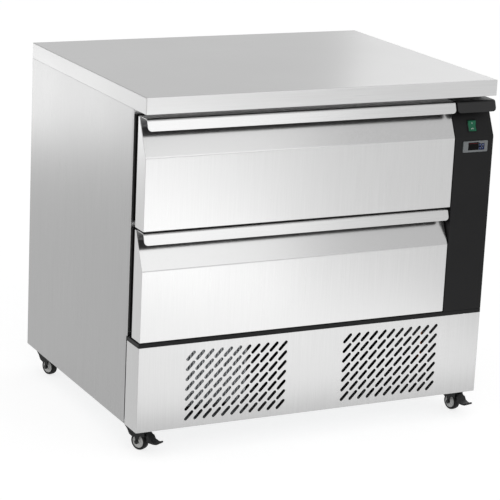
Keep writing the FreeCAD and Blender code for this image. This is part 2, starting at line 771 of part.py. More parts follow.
def thermostat_housing():
    """The bezel with a recess for the window and guides for the keys, and the case behind it."""
    body = new_body("thermostat_housing")
    half_x, half_z = "Dims.thermostat_width / 2", "Dims.thermostat_height / 2"
    outline = rectangle(
        f"Dims.thermostat_x - {half_x}",
        f"Dims.thermostat_x + {half_x}",
        f"Dims.thermostat_z - {half_z}",
        f"Dims.thermostat_z + {half_z}",
    )
    pad(body, "bezel", "XZ", [outline], f"{FRONT} - 3", "3")
    front = value(f"{FRONT} - 3")
    round_edges(body, "bezel_edge", "1.2", lambda middle, edge: middle.y < front + 0.1, "Chamfer")
    case = rectangle(
        f"Dims.thermostat_x - {half_x} + 3.5",
        f"Dims.thermostat_x + {half_x} - 3.5",
        f"Dims.thermostat_z - {half_z} + 2.5",
        f"Dims.thermostat_z + {half_z} - 2.5",
    )
    pad(body, "case", "XZ", [case], FRONT, "52")
    keys = [square(across, up, "(Dims.key_size / 2 + 0.3)") for across, up in key_places()]
    pocket(body, "recess", "XZ", [window_outline()], f"{FRONT} - 3", "2.5")
    pocket(body, "key_guides", "XZ", keys, f"{FRONT} - 3", "6")


def window_outline():
    half_x, half_z = "Dims.window_width / 2", "Dims.window_height / 2"
    centre = "Dims.thermostat_x + Dims.window_offset"
    return rectangle(
        f"{centre} - {half_x}",
        f"{centre} + {half_x}",
        f"Dims.thermostat_z - {half_z}",
        f"Dims.thermostat_z + {half_z}",
    )


def thermostat_window():
    body = new_body("thermostat_window")
    pad(body, "pane", "XZ", [window_outline()], f"{FRONT} - 2.5", "2")


def thermostat_keys():
    """Four square keys that each sink into their guide."""
    for number, (across, up) in enumerate(key_places(), 1):
        body = new_body(f"thermostat_key_{number}")
        pad(body, "cap", "XZ", [square(across, up, "(Dims.key_size / 2)")], f"{FRONT} - 3.8", "4.6")


# Casters, each built about its own swivel axis and turned to where it stands

CASTERS = {
    "front_left": ("-Dims.caster_x", "Dims.caster_front_y", "Dims.swivel_front_left"),
    "front_right": ("Dims.caster_x", "Dims.caster_front_y", "Dims.swivel_front_right"),
    "rear_left": ("-Dims.caster_x", "Dims.caster_rear_y", "Dims.swivel_rear"),
    "rear_right": ("Dims.caster_x", "Dims.caster_rear_y", "Dims.swivel_rear"),
}


def caster_plates():
    """The four mounting plates, each with its raceway cup and kingpin."""
    body = new_body("caster_plates")
    half, hole = "(Dims.plate_size / 2)", "(Dims.plate_hole_pitch / 2)"
    plates, cups, pins = [], [], []
    for across, deep, _ in CASTERS.values():
        plates.append(square(across, deep, half))
        for side in ("-", "+"):
            for end in ("-", "+"):
                plates.append((f"{across} {side} {hole}", f"{deep} {end} {hole}", "Dims.plate_hole_radius"))
        cups.append((across, deep, "16"))
        pins.append((across, deep, "4"))
    pad(body, "plates", "XY", plates, "Dims.caster_height - 2.5", "2.5")
    pad(body, "cups", "XY", cups, "Dims.caster_height - 6.5", "4")
    pad(body, "kingpins", "XY", pins, "Dims.caster_height - 14.5", "8.5")


def caster_fork(name, braked):
    """A hood over the wheel, a leg each side, the axle, and room and a pin for a pedal if it has one."""
    body = new_body(f"{name}_fork")
    axle = ("Dims.caster_trail", "Dims.wheel_radius")
    width = "Dims.fork_width"
    crown = "Dims.caster_height - 6.8"
    hood = [
        ("-17", crown),
        ("13", crown),
        ("30", "59"),
        ("42", "51") if braked else ("36", "54"),
        ("43", "38") if braked else ("40", "40"),
        ("26", "36"),
        ("8", "31"),
        ("-2", "36"),
        ("-8", "47"),
        ("-17", "56"),
    ]
    legs = [("13", "40"), ("27", "40"), ("24", "27"), ("23", "18")]
    legs += [("20", "15.5"), ("17", "18"), ("16", "27")]
    nut = [("15", "21"), ("17.5", "25.3"), ("22.5", "25.3"), ("25", "21"), ("22.5", "16.7"), ("17.5", "16.7")]
    pad(body, "hood", "XZ", [hood], "0", width, middle=True)
    pad(body, "legs", "XZ", [legs], "0", width, middle=True)
    pad(body, "nuts", "XZ", [nut], "0", f"{width} + 4", middle=True)
    pad(body, "raceway", "XY", [("0", "0", "18")], f"{crown} - 8", "8")
    pocket(body, "kingpin_bore", "XY", [("0", "0", "4.1")], f"{crown} - 8", "8")
    reach = "(Dims.wheel_radius + 3)"
    slot = [
        (f"{axle[0]} + {reach} * cos({turn} * 1 deg)", f"{axle[1]} + {reach} * sin({turn} * 1 deg)")
        for turn in range(0, 360, 30)
    ]
    pocket(body, "wheel_slot", "XZ", [slot], "0", "Dims.fork_gap", middle=True)
    if braked:
        room = [("31", "30"), ("50", "30"), ("50", "52"), ("43", "52"), ("31", "50")]
        pocket(body, "pedal_room", "XZ", [room], "0", "Dims.fork_gap", middle=True)
        pin = ("Dims.pedal_x", "Dims.pedal_z", "2")
        pad(body, "pedal_pin", "XZ", [pin], "0", width, middle=True)
    pad(body, "axle", "XZ", [(*axle, "Dims.axle_radius")], "0", width, middle=True)
    return body


def caster_hub(name):
    """A dished hub with a boss that runs on the axle."""
    body = new_body(f"{name}_hub")
    bore, boss = "(Dims.axle_radius + 0.1)", "6"
    rim, half = "Dims.hub_radius", "(Dims.wheel_width / 2 - 1)"
    section = [
        (bore, "-9.8"),
        (boss, "-9.8"),
        (boss, f"-{half}"),
        (rim, f"-{half}"),
        (rim, half),
        (boss, half),
        (boss, "9.8"),
        (bore, "9.8"),
    ]
    revolve(body, "disc", "XY", section)
    return body


def caster_tyre(name):
    body = new_body(f"{name}_tyre")
    half, tread = "(Dims.wheel_width / 2)", "Dims.wheel_radius"
    section = [
        ("Dims.hub_radius", f"-{half}"),
        (f"{tread} - 2.2", f"-{half}"),
        (tread, f"2.5 - {half}"),
        (tread, f"{half} - 2.5"),
        (f"{tread} - 2.2", half),
        ("Dims.hub_radius", half),
    ]
    revolve(body, "tread", "XY", section)
    return body


def caster_pedal(name):
    """A bent pedal on a barrel, with a lobe that comes up to the tyre when it is trodden down."""
    body = new_body(f"{name}_pedal")
    pivot = ("Dims.pedal_x", "Dims.pedal_z")
    arm = [
        ("38", "48"),
        ("47", "46.5"),
        ("54", "40"),
        ("58", "33"),
        ("67", "29.5"),
        ("75", "29.7"),
        ("79", "32"),
        ("80", "30"),
        ("76", "26.5"),
        ("66", "25"),
        ("54", "25.5"),
        ("47", "28.5"),
        ("44", "37"),
        ("38", "40"),
    ]
    tongue = [("52", "42"), *arm[2:12], ("49", "34")]
    pad(body, "arm", "XZ", [arm], "0", "18", middle=True)
    pad(body, "tongue", "XZ", [tongue], "0", "22", middle=True)
    pad(body, "barrel", "XZ", [(*pivot, "4")], "0", "20", middle=True)
    lobe = ("Dims.pedal_x - 5.2 * cos(67 deg)", "Dims.pedal_z - 5.2 * sin(67 deg)", "2.5")
    pad(body, "lobe", "XZ", [lobe], "0", "14", middle=True)
    pocket(body, "bore", "XZ", [(*pivot, "2.1")], "0", "30", middle=True)
    return body


def casters():
    caster_plates()
    for where, (across, deep, turn) in CASTERS.items():
        name, braked = f"caster_{where}", where.startswith("front")
        pieces = [caster_fork(name, braked)]
        if braked:
            pieces.append(caster_pedal(name))
        for piece in pieces:
            place(piece, across, deep, "0", (0, 0, 1), turn)
        wheel_x = f"{across} + Dims.caster_trail * cos({turn} * 1 deg)"
        wheel_y = f"{deep} + Dims.caster_trail * sin({turn} * 1 deg)"
        for piece in (caster_hub(name), caster_tyre(name)):
            place(piece, wheel_x, wheel_y, "Dims.wheel_radius", (0, 0, 1), turn)


# Cooling parts in the machine bay and in the duct beside the drawers


def finned_coil(name, width, depth, height):
    """A coil block whose fins stand out front and back, between end plates with a header each."""
    body = new_body(name)
    half_x, half_y = f"({width} / 2)", f"({depth} / 2)"
    pad(body, "core", "XY", [rectangle(f"-{half_x}", half_x, f"-{half_y}", half_y)], "0", height)
    pitch = f"(({width} - 12) / (Dims.coil_fins - 1))"
    first = f"(6 - {half_x})"
    groove = [
        rectangle(f"{first} - {pitch} * 0.36", f"{first} + {pitch} * 0.36", f"-{half_y}", f"6 - {half_y}"),
        rectangle(f"{first} - {pitch} * 0.36", f"{first} + {pitch} * 0.36", f"{half_y} - 6", half_y),
    ]
    cut = pocket(body, "gap", "XY", groove, "2", f"{height} - 4")
    repeat(body, "gaps", [cut], [(cut.Profile[0], "H_Axis", pitch, "Dims.coil_fins")])
    ends = (f"-{half_x}", half_x)
    plates = [rectangle(f"{end} - 2", f"{end} + 2", f"-{half_y}", half_y) for end in ends]
    pad(body, "end_plates", "XY", plates, "0", height)
    headers = [(f"-{half_x} - {HEADER_OFFSET}", "0", "5"), (f"{half_x} + {HEADER_OFFSET}", "0", "5")]
    pad(body, "headers", "XY", headers, f"-{HEADER_OVERHANG}", f"{height} + 2 * {HEADER_OVERHANG}")
    return body


def fan_blade(name, radius, hub, hub_length, blades):
    """A hub with pitched blades, each lofted from a narrow root to a wide tip. Its axis is the body's Z."""
    body = new_body(name)
    pad(body, "hub", "XY", [("0", "0", hub)], "0", hub_length, middle=True)
    sections = []
    pitch = "Dims.blade_pitch * 1 deg"
    for where, distance, chord in (("root", f"({hub} - 2)", "0.36"), ("tip", radius, "0.6")):
        sketch = new_sketch(body, f"blade_{where}", "YZ", distance)
        half = f"({radius} * {chord} / 2)"
        run, rise = f"{half} * cos({pitch})", f"{half} * sin({pitch})"
        points = [(f"-{run}", f"-{rise}"), (run, rise), (run, f"{rise} + 1.6"), (f"-{run}", f"1.6 - {rise}")]
        draw(sketch, [points])
        sections.append(sketch)
    blade = body.newObject("PartDesign::AdditiveLoft", "blade")
    blade.Profile = sections[0]
    blade.Sections = [sections[1]]
    doc.recompute()
    polar(body, "blades", [blade], "Z_Axis", blades)
    return body


def condenser():
    coil = finned_coil("condenser_coil", CONDENSER["width"], CONDENSER["depth"], CONDENSER["height"])
    place(coil, CONDENSER["x"], CONDENSER["y"], CONDENSER["z"])
    # the motor with its bracket, and the ring that the blade turns in
    motor = new_body("condenser_fan_motor")
    ring = [("0", "0", "Dims.condenser_fan_radius + 10"), ("0", "0", "Dims.condenser_fan_radius + 3")]
    pad(motor, "ring", "XY", ring, "-36", "34")
    pad(motor, "strut", "XY", [rectangle("-82", "82", "-6", "6")], "18", "4")
    posts = [rectangle("-84", "-78", "-6", "6"), rectangle("78", "84", "-6", "6")]
    pad(motor, "posts", "XY", posts, "-4", "26")
    pad(motor, "case", "XY", [("0", "0", "30")], "22", "44")
    pad(motor, "shaft", "XY", [("0", "0", "3")], "-8", "32")
    floor = f"({CONDENSER_FAN_Z} - {BASE_TOP})"
    legs = [rectangle("-66", "-54", "56", floor), rectangle("54", "66", "56", floor)]
    pad(motor, "legs", "XY", legs, "-36", "6")
    place(motor, CONDENSER["x"], CONDENSER_FAN_Y, CONDENSER_FAN_Z, (1, 0, 0), "-90")
    blade = fan_blade("condenser_fan_blade", "Dims.condenser_fan_radius", "20", "22", 5)
    bore = ("0", "0", "3.1")
    pocket(blade, "bore", "XY", [bore], "0", "30", middle=True)
    place(blade, CONDENSER["x"], f"{CONDENSER_FAN_Y} - 5", CONDENSER_FAN_Z, (1, 0, 0), "-90")


def compressor():
    """A welded shell on a foot plate with rubber buffers, and its terminal box."""
    body = new_body("compressor")
    top = COMPRESSOR["height"]
    shell = [("0", "18"), ("76", "18"), ("76", "104"), ("58", f"{top} - 14"), ("24", top), ("0", top)]
    revolve(body, "shell", "XZ", shell)
    pad(body, "foot_plate", "XY", [rectangle("-100", "100", "-62", "62")], "14", "6")
    feet = [(f"{side}86", f"{end}48", "11") for side in ("-", "") for end in ("-", "")]
    pad(body, "buffers", "XY", feet, "0", "14")
    pad(body, "terminal_box", "XZ", [rectangle("-26", "26", "60", "112")], "-100", "40")
    place(body, COMPRESSOR["x"], COMPRESSOR["y"], BASE_TOP)


def evaporation_tray():
    """A shallow tray in the machine bay, where the defrost water dries off."""
    body = new_body("evaporation_tray")
    pad(body, "block", "XY", [rectangle("-330", "-60", "60", "300")], f"{BASE_TOP} + 6", "40")
    pocket(body, "hollow", "XY", [rectangle("-327", "-63", "63", "297")], f"{BASE_TOP} + 9", "37")
    feet = [rectangle(left, right, "80", "280") for left, right in (("-320", "-310"), ("-80", "-70"))]
    pad(body, "runners", "XY", feet, BASE_TOP, "6")


def evaporator():
    """The coil in the duct, and the partition in front of it with the fan's ring and motor."""
    coil = finned_coil("evaporator_coil", EVAPORATOR["width"], EVAPORATOR["depth"], EVAPORATOR["height"])
    place(coil, EVAPORATOR["x"], EVAPORATOR["y"], EVAPORATOR["z"], (0, 0, 1), "90")
    cover = new_body("evaporator_cover")
    ceiling = f"({UNDER_TOP} - Dims.ceiling_thickness)"
    face = rectangle(FRAME_BACK, BAY_BACK, FLOOR_TOP, ceiling)
    hole = (EVAPORATOR_FAN_Y, EVAPORATOR_FAN_Z, "Dims.evaporator_fan_radius + 2")
    pad(cover, "sheet", "YZ", [face, hole], BAY_RIGHT, "Dims.sheet")
    ring = [(EVAPORATOR_FAN_Y, EVAPORATOR_FAN_Z, "Dims.evaporator_fan_radius + 5"), hole]
    pad(cover, "ring", "YZ", ring, BAY_RIGHT, "30")
    slots = [rectangle("-200", "-80", f"{z}", f"{z + 8}") for z in (708, 724, 740, 336, 352, 368)]
    pocket(cover, "return_slots", "YZ", slots, BAY_RIGHT, "Dims.sheet")
    ends = (f"{EVAPORATOR_FAN_Y} - 50", f"{EVAPORATOR_FAN_Y} + 50")
    arm = rectangle(*ends, f"{EVAPORATOR_FAN_Z} - 4", f"{EVAPORATOR_FAN_Z} + 4")
    pad(cover, "strut", "YZ", [arm], f"{BAY_RIGHT} + 26", "4")
    pad(cover, "motor", "YZ", [(EVAPORATOR_FAN_Y, EVAPORATOR_FAN_Z, "17")], f"{BAY_RIGHT} + 26", "30")
    pad(cover, "shaft", "YZ", [(EVAPORATOR_FAN_Y, EVAPORATOR_FAN_Z, "2")], f"{BAY_RIGHT} + 8", "20")
    blade = fan_blade("evaporator_fan_blade", "Dims.evaporator_fan_radius", "14", "14", 5)
    pocket(blade, "bore", "XY", [("0", "0", "2.1")], "0", "30", middle=True)
    place(blade, f"{BAY_RIGHT} + 15", EVAPORATOR_FAN_Y, EVAPORATOR_FAN_Z, (0, 1, 0), "90")


def bent_tube(points, radius, bend):
    """A round tube along straight runs joined by arcs of one radius."""
    places = [FreeCAD.Vector(*point) for point in points]
    edges, start = [], places[0]
    for before, corner, after in zip(places, places[1:], places[2:]):
        arriving, leaving = (corner - before).normalize(), (after - corner).normalize()
        half_turn = arriving.getAngle(leaving) / 2
        reach = bend * math.tan(half_turn)
        first, last = corner - arriving * reach, corner + leaving * reach
        inward = (leaving - arriving).normalize()
        centre = corner + inward * (bend / math.cos(half_turn))
        middle = centre - inward * bend
        edges.append(Part.LineSegment(start, first).toShape())
        edges.append(Part.Arc(first, middle, last).toShape())
        start = last
    edges.append(Part.LineSegment(start, places[-1]).toShape())
    axis = places[1] - places[0]
    ring = Part.Face(Part.Wire([Part.Circle(places[0], axis, radius).toShape()]))
    return Part.Wire(edges).makePipe(ring)


def refrigerant_pipes():
    """Discharge, suction and liquid lines as separate tubes, the liquid line with its drier."""
    gap = 0.3
    radius, bend = value("Dims.pipe_radius"), value("Dims.pipe_bend")
    discharge_x = value(f"{COMPRESSOR['x']} - {COMPRESSOR['stub']}")
    suction_x = value(f"{COMPRESSOR['x']} + {COMPRESSOR['stub']}")
    shell_y, shell_top = value(COMPRESSOR["y"]), value(f"{BASE_TOP} + {COMPRESSOR['height']}") + gap
    header_x = value(f"{CONDENSER['x']} + {CONDENSER['width']} / 2 + {HEADER_OFFSET}")
    header_y = value(CONDENSER["y"])
    header_top = value(f"{CONDENSER['z']} + {CONDENSER['height']} + {HEADER_OVERHANG}") + gap
    coil_x, coil_under = value(EVAPORATOR["x"]), value(f"{EVAPORATOR['z']} - {HEADER_OVERHANG}") - gap
    rear, front = (value(place) for place in PIPE_PLACES)
    floor = value(FLOOR_UNDER)
    discharge_z, suction_z, liquid_z = floor - 6, floor - 19, 115
    discharge = [
        (discharge_x, shell_y, shell_top),
        (discharge_x, shell_y, discharge_z),
        (header_x, shell_y, discharge_z),
        (header_x, header_y, discharge_z),
        (header_x, header_y, header_top),
    ]
    suction = [
        (suction_x, shell_y, shell_top),
        (suction_x, shell_y, suction_z),
        (coil_x, rear, suction_z),
        (coil_x, rear, coil_under),
    ]
    liquid = [
        (header_x + 5 + gap, header_y, liquid_z),
        (30, header_y, liquid_z),
        (120, front, liquid_z),
        (coil_x, front, liquid_z),
        (coil_x, front, coil_under),
    ]
    tubes = [bent_tube(route, radius, bend) for route in (discharge, suction, liquid)]
    drier = Part.makeCylinder(11, 80, FreeCAD.Vector(200, front, liquid_z), FreeCAD.Vector(1, 0, 0))
    part = doc.addObject("Part::Feature", "refrigerant_pipes")
    part.Label = "refrigerant_pipes"
    part.Shape = Part.makeCompound([tubes[0], tubes[1], tubes[2].fuse(drier)])
    part.Placement = FreeCAD.Placement()
    nodes.append(part)


# The whole counter

worktop()
side_panel("left_side_panel", -1)
side_panel("right_side_panel", 1)
back_panel()
cord_gland()
base_plate()
walls()
front_frame()
lower_trim_strip()
lower_front_panel()
for drawer_name, drawer_top in DRAWER_TOPS.items():
    drawer(drawer_name, drawer_top)
rail_pair("fixed_rails", DRAWER_TOPS.values(), "0", "11", FIXED_HALF)
control_column()
switch_housing()
power_rocker()
thermostat_housing()
thermostat_window()
thermostat_keys()
casters()
condenser()
compressor()
evaporation_tray()
evaporator()
refrigerant_pipes()
doc.recompute()

# Nothing is written unless every object is sound

for item in doc.Objects:
    if "Invalid" in item.State or "Error" in item.State:
        raise RuntimeError(f"{item.Label} failed: {item.State}")
for node in nodes:
    if node.Shape.isNull() or not node.Shape.isValid() or not node.Shape.Solids:
        raise RuntimeError(f"{node.Label} has no sound solid")

os.makedirs("parts", exist_ok=True)
for node in nodes:
    node.Shape.exportStep(f"parts/{node.Label}.step")
whole = Part.makeCompound([node.Shape for node in nodes]).BoundBox
lengths = [round(length, 2) for length in (whole.XLength, whole.YLength, whole.ZLength)]
print(len(nodes), "pieces,", *lengths, "mm")
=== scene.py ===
# %% [markdown]
# # A refrigerated counter with two drawers
# The real object is a low stainless steel cabinet for a commercial kitchen. Two insulated drawers
# pull out by a folded lip, a black moulded column beside them carries the switch and the
# thermostat, and the machine bay below breathes through slanted slots.
#
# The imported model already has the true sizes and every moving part. It is loaded as a fixed frame,
# and this lesson adds what the eye asks for: folded and rounded edges, small parts, and finishes.

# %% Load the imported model
import json
import math

import bmesh
import bpy
from mathutils import Matrix, Vector


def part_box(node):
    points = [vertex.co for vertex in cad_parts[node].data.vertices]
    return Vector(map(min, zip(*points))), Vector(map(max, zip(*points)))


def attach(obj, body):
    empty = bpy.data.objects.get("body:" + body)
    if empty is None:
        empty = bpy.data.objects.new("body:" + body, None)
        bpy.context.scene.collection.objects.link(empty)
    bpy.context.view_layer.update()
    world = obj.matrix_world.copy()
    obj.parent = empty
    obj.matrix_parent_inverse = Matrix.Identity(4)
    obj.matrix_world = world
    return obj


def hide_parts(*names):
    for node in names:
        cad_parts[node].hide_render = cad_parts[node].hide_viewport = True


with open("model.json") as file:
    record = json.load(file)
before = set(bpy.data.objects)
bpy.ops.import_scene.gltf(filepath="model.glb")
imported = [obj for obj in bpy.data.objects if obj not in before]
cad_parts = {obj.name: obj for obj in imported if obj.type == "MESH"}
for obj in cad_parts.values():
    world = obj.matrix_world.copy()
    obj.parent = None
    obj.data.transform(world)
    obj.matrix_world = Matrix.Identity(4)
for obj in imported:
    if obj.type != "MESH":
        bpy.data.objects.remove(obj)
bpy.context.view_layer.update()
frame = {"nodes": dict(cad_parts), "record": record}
MM = 0.001

# %% [markdown]
# ## Helpers for materials
# A finish is a small graph of nodes. Colours are easier to choose as hex values, but light is mixed
# in linear values, so one function translates. Another adds a node and sets it up in one line: a
# name that the node knows as a property is set as such, anything else is one of its sockets. The
# rest are the steps that all finishes share.


# %% Colour and node helpers
def linear(code):
    """A hex colour as linear red, green, blue and alpha."""
    channels = [int(code[i : i + 2], 16) / 255 for i in (1, 3, 5)]
    shares = [c / 12.92 if c <= 0.04045 else ((c + 0.055) / 1.055) ** 2.4 for c in channels]
    return (*shares, 1.0)


def add(tree, kind, links=None, **settings):
    """Adds a node, sets it up, and links the given outputs to its inputs."""
    node = tree.nodes.new(kind)
    for name, value in settings.items():
        if name.islower() and hasattr(node, name):
            setattr(node, name, value)
        else:
            node.inputs[name.replace("_", " ")].default_value = value
    for name, source in (links or {}).items():
        tree.links.new(source, node.inputs[name])
    return node


def blank_material(name):
    material = bpy.data.materials.new(name)
    material.use_nodes = True
    material.node_tree.nodes.clear()
    return material, material.node_tree


TONE_ENDS = (0.25, 0.75)


def two_tones(tree, factor, first, second):
    """Blends two hex colours by a 0 to 1 output."""
    ramp = add(tree, "ShaderNodeValToRGB", {"Fac": factor})
    for element, place, code in zip(ramp.color_ramp.elements, TONE_ENDS, (first, second)):
        element.position = place
        element.color = linear(code)
    return ramp.outputs["Color"]


def around(tree, source, middle, spread):
    """Turns a 0 to 1 pattern into a number that stays within spread of the middle."""
    numbers = {"To_Min": middle - spread, "To_Max": middle + spread}
    return add(tree, "ShaderNodeMapRange", {"Value": source}, **numbers).outputs["Result"]


def noise(tree, where, size, **settings):
    """A noise pattern whose coarsest grains have the given size."""
    settings["Scale"] = 1 / size
    return add(tree, "ShaderNodeTexNoise", {"Vector": where}, **settings).outputs["Fac"]


def close_material(tree, shader):
    add(tree, "ShaderNodeOutputMaterial", {"Surface": shader.outputs[0]})


print("linear middle grey", round(linear("#808080")[0], 3))


# %% [markdown]
# ## Brushed stainless steel
# Stainless sheet is brushed by a belt of fine grit, which leaves parallel hairlines about 0.2 mm
# apart. They make the metal rougher across than along, so reflections smear into soft bands. Noise
# that is stretched along the grain does the same work: it drives a little colour, some roughness
# and a trace of bump. Hairlines of the true width would vanish at this picture size, so they are
# drawn 1.4 mm apart. A second, large noise stands for the slight waves that every thin sheet has.
#
# Every sheet gets two close tones, the axis of its grain and its roughness. The lip and the slope
# of a real front only look darker by what they reflect. Here finishes of their own paint that
# shade in as darker tones.

# %% Stainless steel finishes
HAIRLINE, HAIRLINE_LENGTH, HAIRLINE_DEPTH = 1.4 * MM, 160 * MM, 0.1 * MM
SHEET_WAVE = 350 * MM
# how far the roughness strays with the hairlines and with the waves
LINE_SPREAD, WAVE_SPREAD = 0.06, 0.03


def brushed_steel(name, light, dark, grain, roughness):
    """Steel with hairlines along the axis that is named by grain."""
    material, tree = blank_material(name)
    where = add(tree, "ShaderNodeTexCoord").outputs["Object"]
    stretch = [1 / (HAIRLINE_LENGTH if axis == grain else HAIRLINE) for axis in "xyz"]
    along = add(tree, "ShaderNodeMapping", {"Vector": where}, Scale=stretch).outputs[0]
    lines = noise(tree, along, 1, Detail=4, Roughness=0.6)
    waves = noise(tree, where, SHEET_WAVE, Detail=2)
    rough = around(tree, lines, roughness, LINE_SPREAD)
    uneven = around(tree, waves, 0, WAVE_SPREAD)
    total = add(tree, "ShaderNodeMath", {0: rough, 1: uneven}, operation="ADD")
    colour = two_tones(tree, lines, dark, light)
    bump = add(tree, "ShaderNodeBump", {"Height": lines}, Strength=0.05, Distance=HAIRLINE_DEPTH)
    links = {"Base Color": colour, "Roughness": total.outputs[0], "Normal": bump.outputs[0]}
    close_material(tree, add(tree, "ShaderNodeBsdfPrincipled", links, Metallic=1.0))
    return material


FINISH = {
    "worktop_steel": brushed_steel("brushed_stainless_worktop", "#aeaeae", "#a4a4a4", "x", 0.3),
    # the fold's lighter tone is painted light on the worktop's front and back faces
    "folded_edge_painted_light": brushed_steel("stainless_edge_painted_light", "#cdcdcd", "#c5c5c5", "x", 0.3),
    # the darker tone inside the lip is painted shade for the hollow behind it
    "lip_inside_painted_shade": brushed_steel("stainless_inside_painted_shade", "#a4a4a4", "#989898", "x", 0.35),
    # the side panels' darker tone is painted shade: the same steel, on the side turned from the light
    "side_steel": brushed_steel("brushed_stainless_side_painted_shade", "#a8a8a8", "#9c9c9c", "z", 0.3),
    "front_steel": brushed_steel("brushed_stainless_front", "#c8c8c8", "#c0c0c0", "z", 0.3),
    "lip_steel": brushed_steel("brushed_stainless_lip", "#c3c3c3", "#bbbbbb", "x", 0.25),
    # the slope's darker tone is painted shade from the lip above it
    "slope_steel_painted_shade": brushed_steel("brushed_stainless_slope_painted_shade", "#b9b9b9", "#b1b1b1", "z", 0.2),
    "frame_steel": brushed_steel("bright_stainless_frame", "#cfcfcf", "#c6c6c6", "x", 0.25),
    "panel_steel": brushed_steel("brushed_stainless_panel", "#c4c4c4", "#bababa", "z", 0.34),
    "inner_steel": brushed_steel("satin_stainless_inside", "#d2d2d2", "#c6c6c6", "y", 0.3),
}
print("steel finishes", len(FINISH))

# %% [markdown]
# ## Zinc, aluminium and copper
# Hidden sheet is hot-dip galvanised: the zinc freezes into flat crystals the size of a fingernail,
# which a Voronoi pattern draws cell by cell. Slides and small steel parts are bright zinc plated,
# the coils have bare aluminium fins, and the lines are drawn copper that has started to brown. One
# recipe makes them all: metal with a pattern in its tone.


# %% Other metals
def plain_metal(name, light, dark, grain, roughness, crystals=False):
    """Bare or plated metal with clouds in its tone, or with crystals."""
    material, tree = blank_material(name)
    where = add(tree, "ShaderNodeTexCoord").outputs["Object"]
    if crystals:
        cells = add(tree, "ShaderNodeTexVoronoi", {"Vector": where}, Scale=1 / grain)
        channels = add(tree, "ShaderNodeSeparateColor", {"Color": cells.outputs["Color"]})
        pattern = channels.outputs["Red"]
    else:
        pattern = noise(tree, where, grain, Detail=5)
    links = {
        "Base Color": two_tones(tree, pattern, dark, light),
        "Roughness": around(tree, pattern, roughness, spread=0.08),
    }
    close_material(tree, add(tree, "ShaderNodeBsdfPrincipled", links, Metallic=1.0))
    return material


FINISH |= {
    "galvanised_steel": plain_metal("galvanised_sheet", "#b4b7b9", "#abaeb0", 7 * MM, 0.4, True),
    "rail_steel": plain_metal("bright_zinc_slides", "#cfd2d4", "#bfc2c5", 6 * MM, 0.25),
    "caster_zinc": plain_metal("bright_zinc_caster", "#c4c6c8", "#aeb1b4", 5 * MM, 0.28),
    "coil_fins": plain_metal("aluminium_fins", "#c8cacc", "#a8abad", 3 * MM, 0.4),
    "copper_pipe": plain_metal("drawn_copper", "#c07a50", "#8f5436", 9 * MM, 0.3),
}
print("metal finishes", len(FINISH))

# %% [markdown]
# ## Moulded plastics and rubber
# The column, the strip and the caster forks are moulded in black plastic with a fine spark-eroded
# texture, so they show no sharp highlight. Tyres and seals are softer and duller still. Enamel, the
# foam walls' liner, the rocker and the window are smoother. One recipe covers them: a fine grain
# for the bump, a coarse cloud for the handling marks that change the gloss, and a base colour of
# two close tones.


# %% Plastics, rubber and paint
PLASTIC_IOR = 1.46
HANDLING_CLOUD = 70 * MM


def moulded(name, light, dark, roughness, grain=0.9 * MM, depth=0.05 * MM, gloss=0.5):
    """Plastic, rubber or enamel with a grain of the given width and depth."""
    material, tree = blank_material(name)
    where = add(tree, "ShaderNodeTexCoord").outputs["Object"]
    fine = noise(tree, where, grain, Detail=3)
    cloud = noise(tree, where, HANDLING_CLOUD, Detail=3)
    bump = add(tree, "ShaderNodeBump", {"Height": fine}, Strength=0.4, Distance=depth)
    links = {
        "Base Color": two_tones(tree, cloud, dark, light),
        "Roughness": around(tree, cloud, roughness, spread=0.05),
        "Normal": bump.outputs[0],
    }
    numbers = {"IOR": PLASTIC_IOR, "Specular_IOR_Level": gloss}
    close_material(tree, add(tree, "ShaderNodeBsdfPrincipled", links, **numbers))
    return material


FINISH |= {
    "black_moulding": moulded("black_abs_spark_texture", "#151516", "#101011", 0.5, gloss=0.2),
    # the lip's slightly lighter tone than the column is painted light; its gloss and grain are its own
    "lip_moulding": moulded("black_abs_smooth_lip_painted_light", "#1a1a1b", "#141415", 0.45, 1.6 * MM, gloss=0.4),
    "gasket_rubber": moulded("black_seal_pvc", "#0f0f0f", "#0a0a0a", 0.6, gloss=0.2),
    "rocker_green": moulded(
        "green_polycarbonate_rocker", "#0b6b4a", "#074c34", 0.3, 4 * MM, 0.01 * MM, gloss=0.3
    ),
    "bezel_grey": moulded("silver_grey_abs_bezel", "#75787a", "#686b6d", 0.45),
    "window_black": moulded("smoked_acrylic_window", "#0a0808", "#050404", 0.25, 6 * MM, 0, gloss=0.08),
    "key_blue": moulded("blue_membrane_keys", "#17214a", "#111939", 0.5, gloss=0.15),
    "printed_mark": moulded("pale_printed_marks", "#9fb0d8", "#8c9dc6", 0.5),
    "rocker_mark": moulded("white_rocker_marks", "#c9d6cf", "#bccac3", 0.5),
    "display_red": moulded("unlit_red_display", "#6e2b2e", "#5a2124", 0.4, gloss=0.1),
    "foam_wall": moulded("white_polystyrene_liner", "#e2e3e1", "#d8d9d7", 0.3),
    "compressor_black": moulded("black_enamel_shell", "#1c1c1d", "#151516", 0.28, 2 * MM, 0.06 * MM),
    "fan_plastic": moulded("black_nylon_fan", "#1f2021", "#18191a", 0.45),
    "motor_metal": moulded("grey_enamel_motor", "#4a4c4e", "#3e4042", 0.4, 2 * MM, 0.05 * MM),
    "tray_plastic": moulded("black_polypropylene_tray", "#242424", "#1c1c1c", 0.5),
    "caster_black": moulded("black_nylon_fork", "#121314", "#0d0e0f", 0.42, gloss=0.3),
    "hub_grey": moulded("light_grey_nylon_hub", "#e2e2e0", "#d6d6d4", 0.35),
    "tyre_black": moulded("black_rubber_tyre", "#141414", "#0e0e0e", 0.65, 1.2 * MM, gloss=0.3),
}

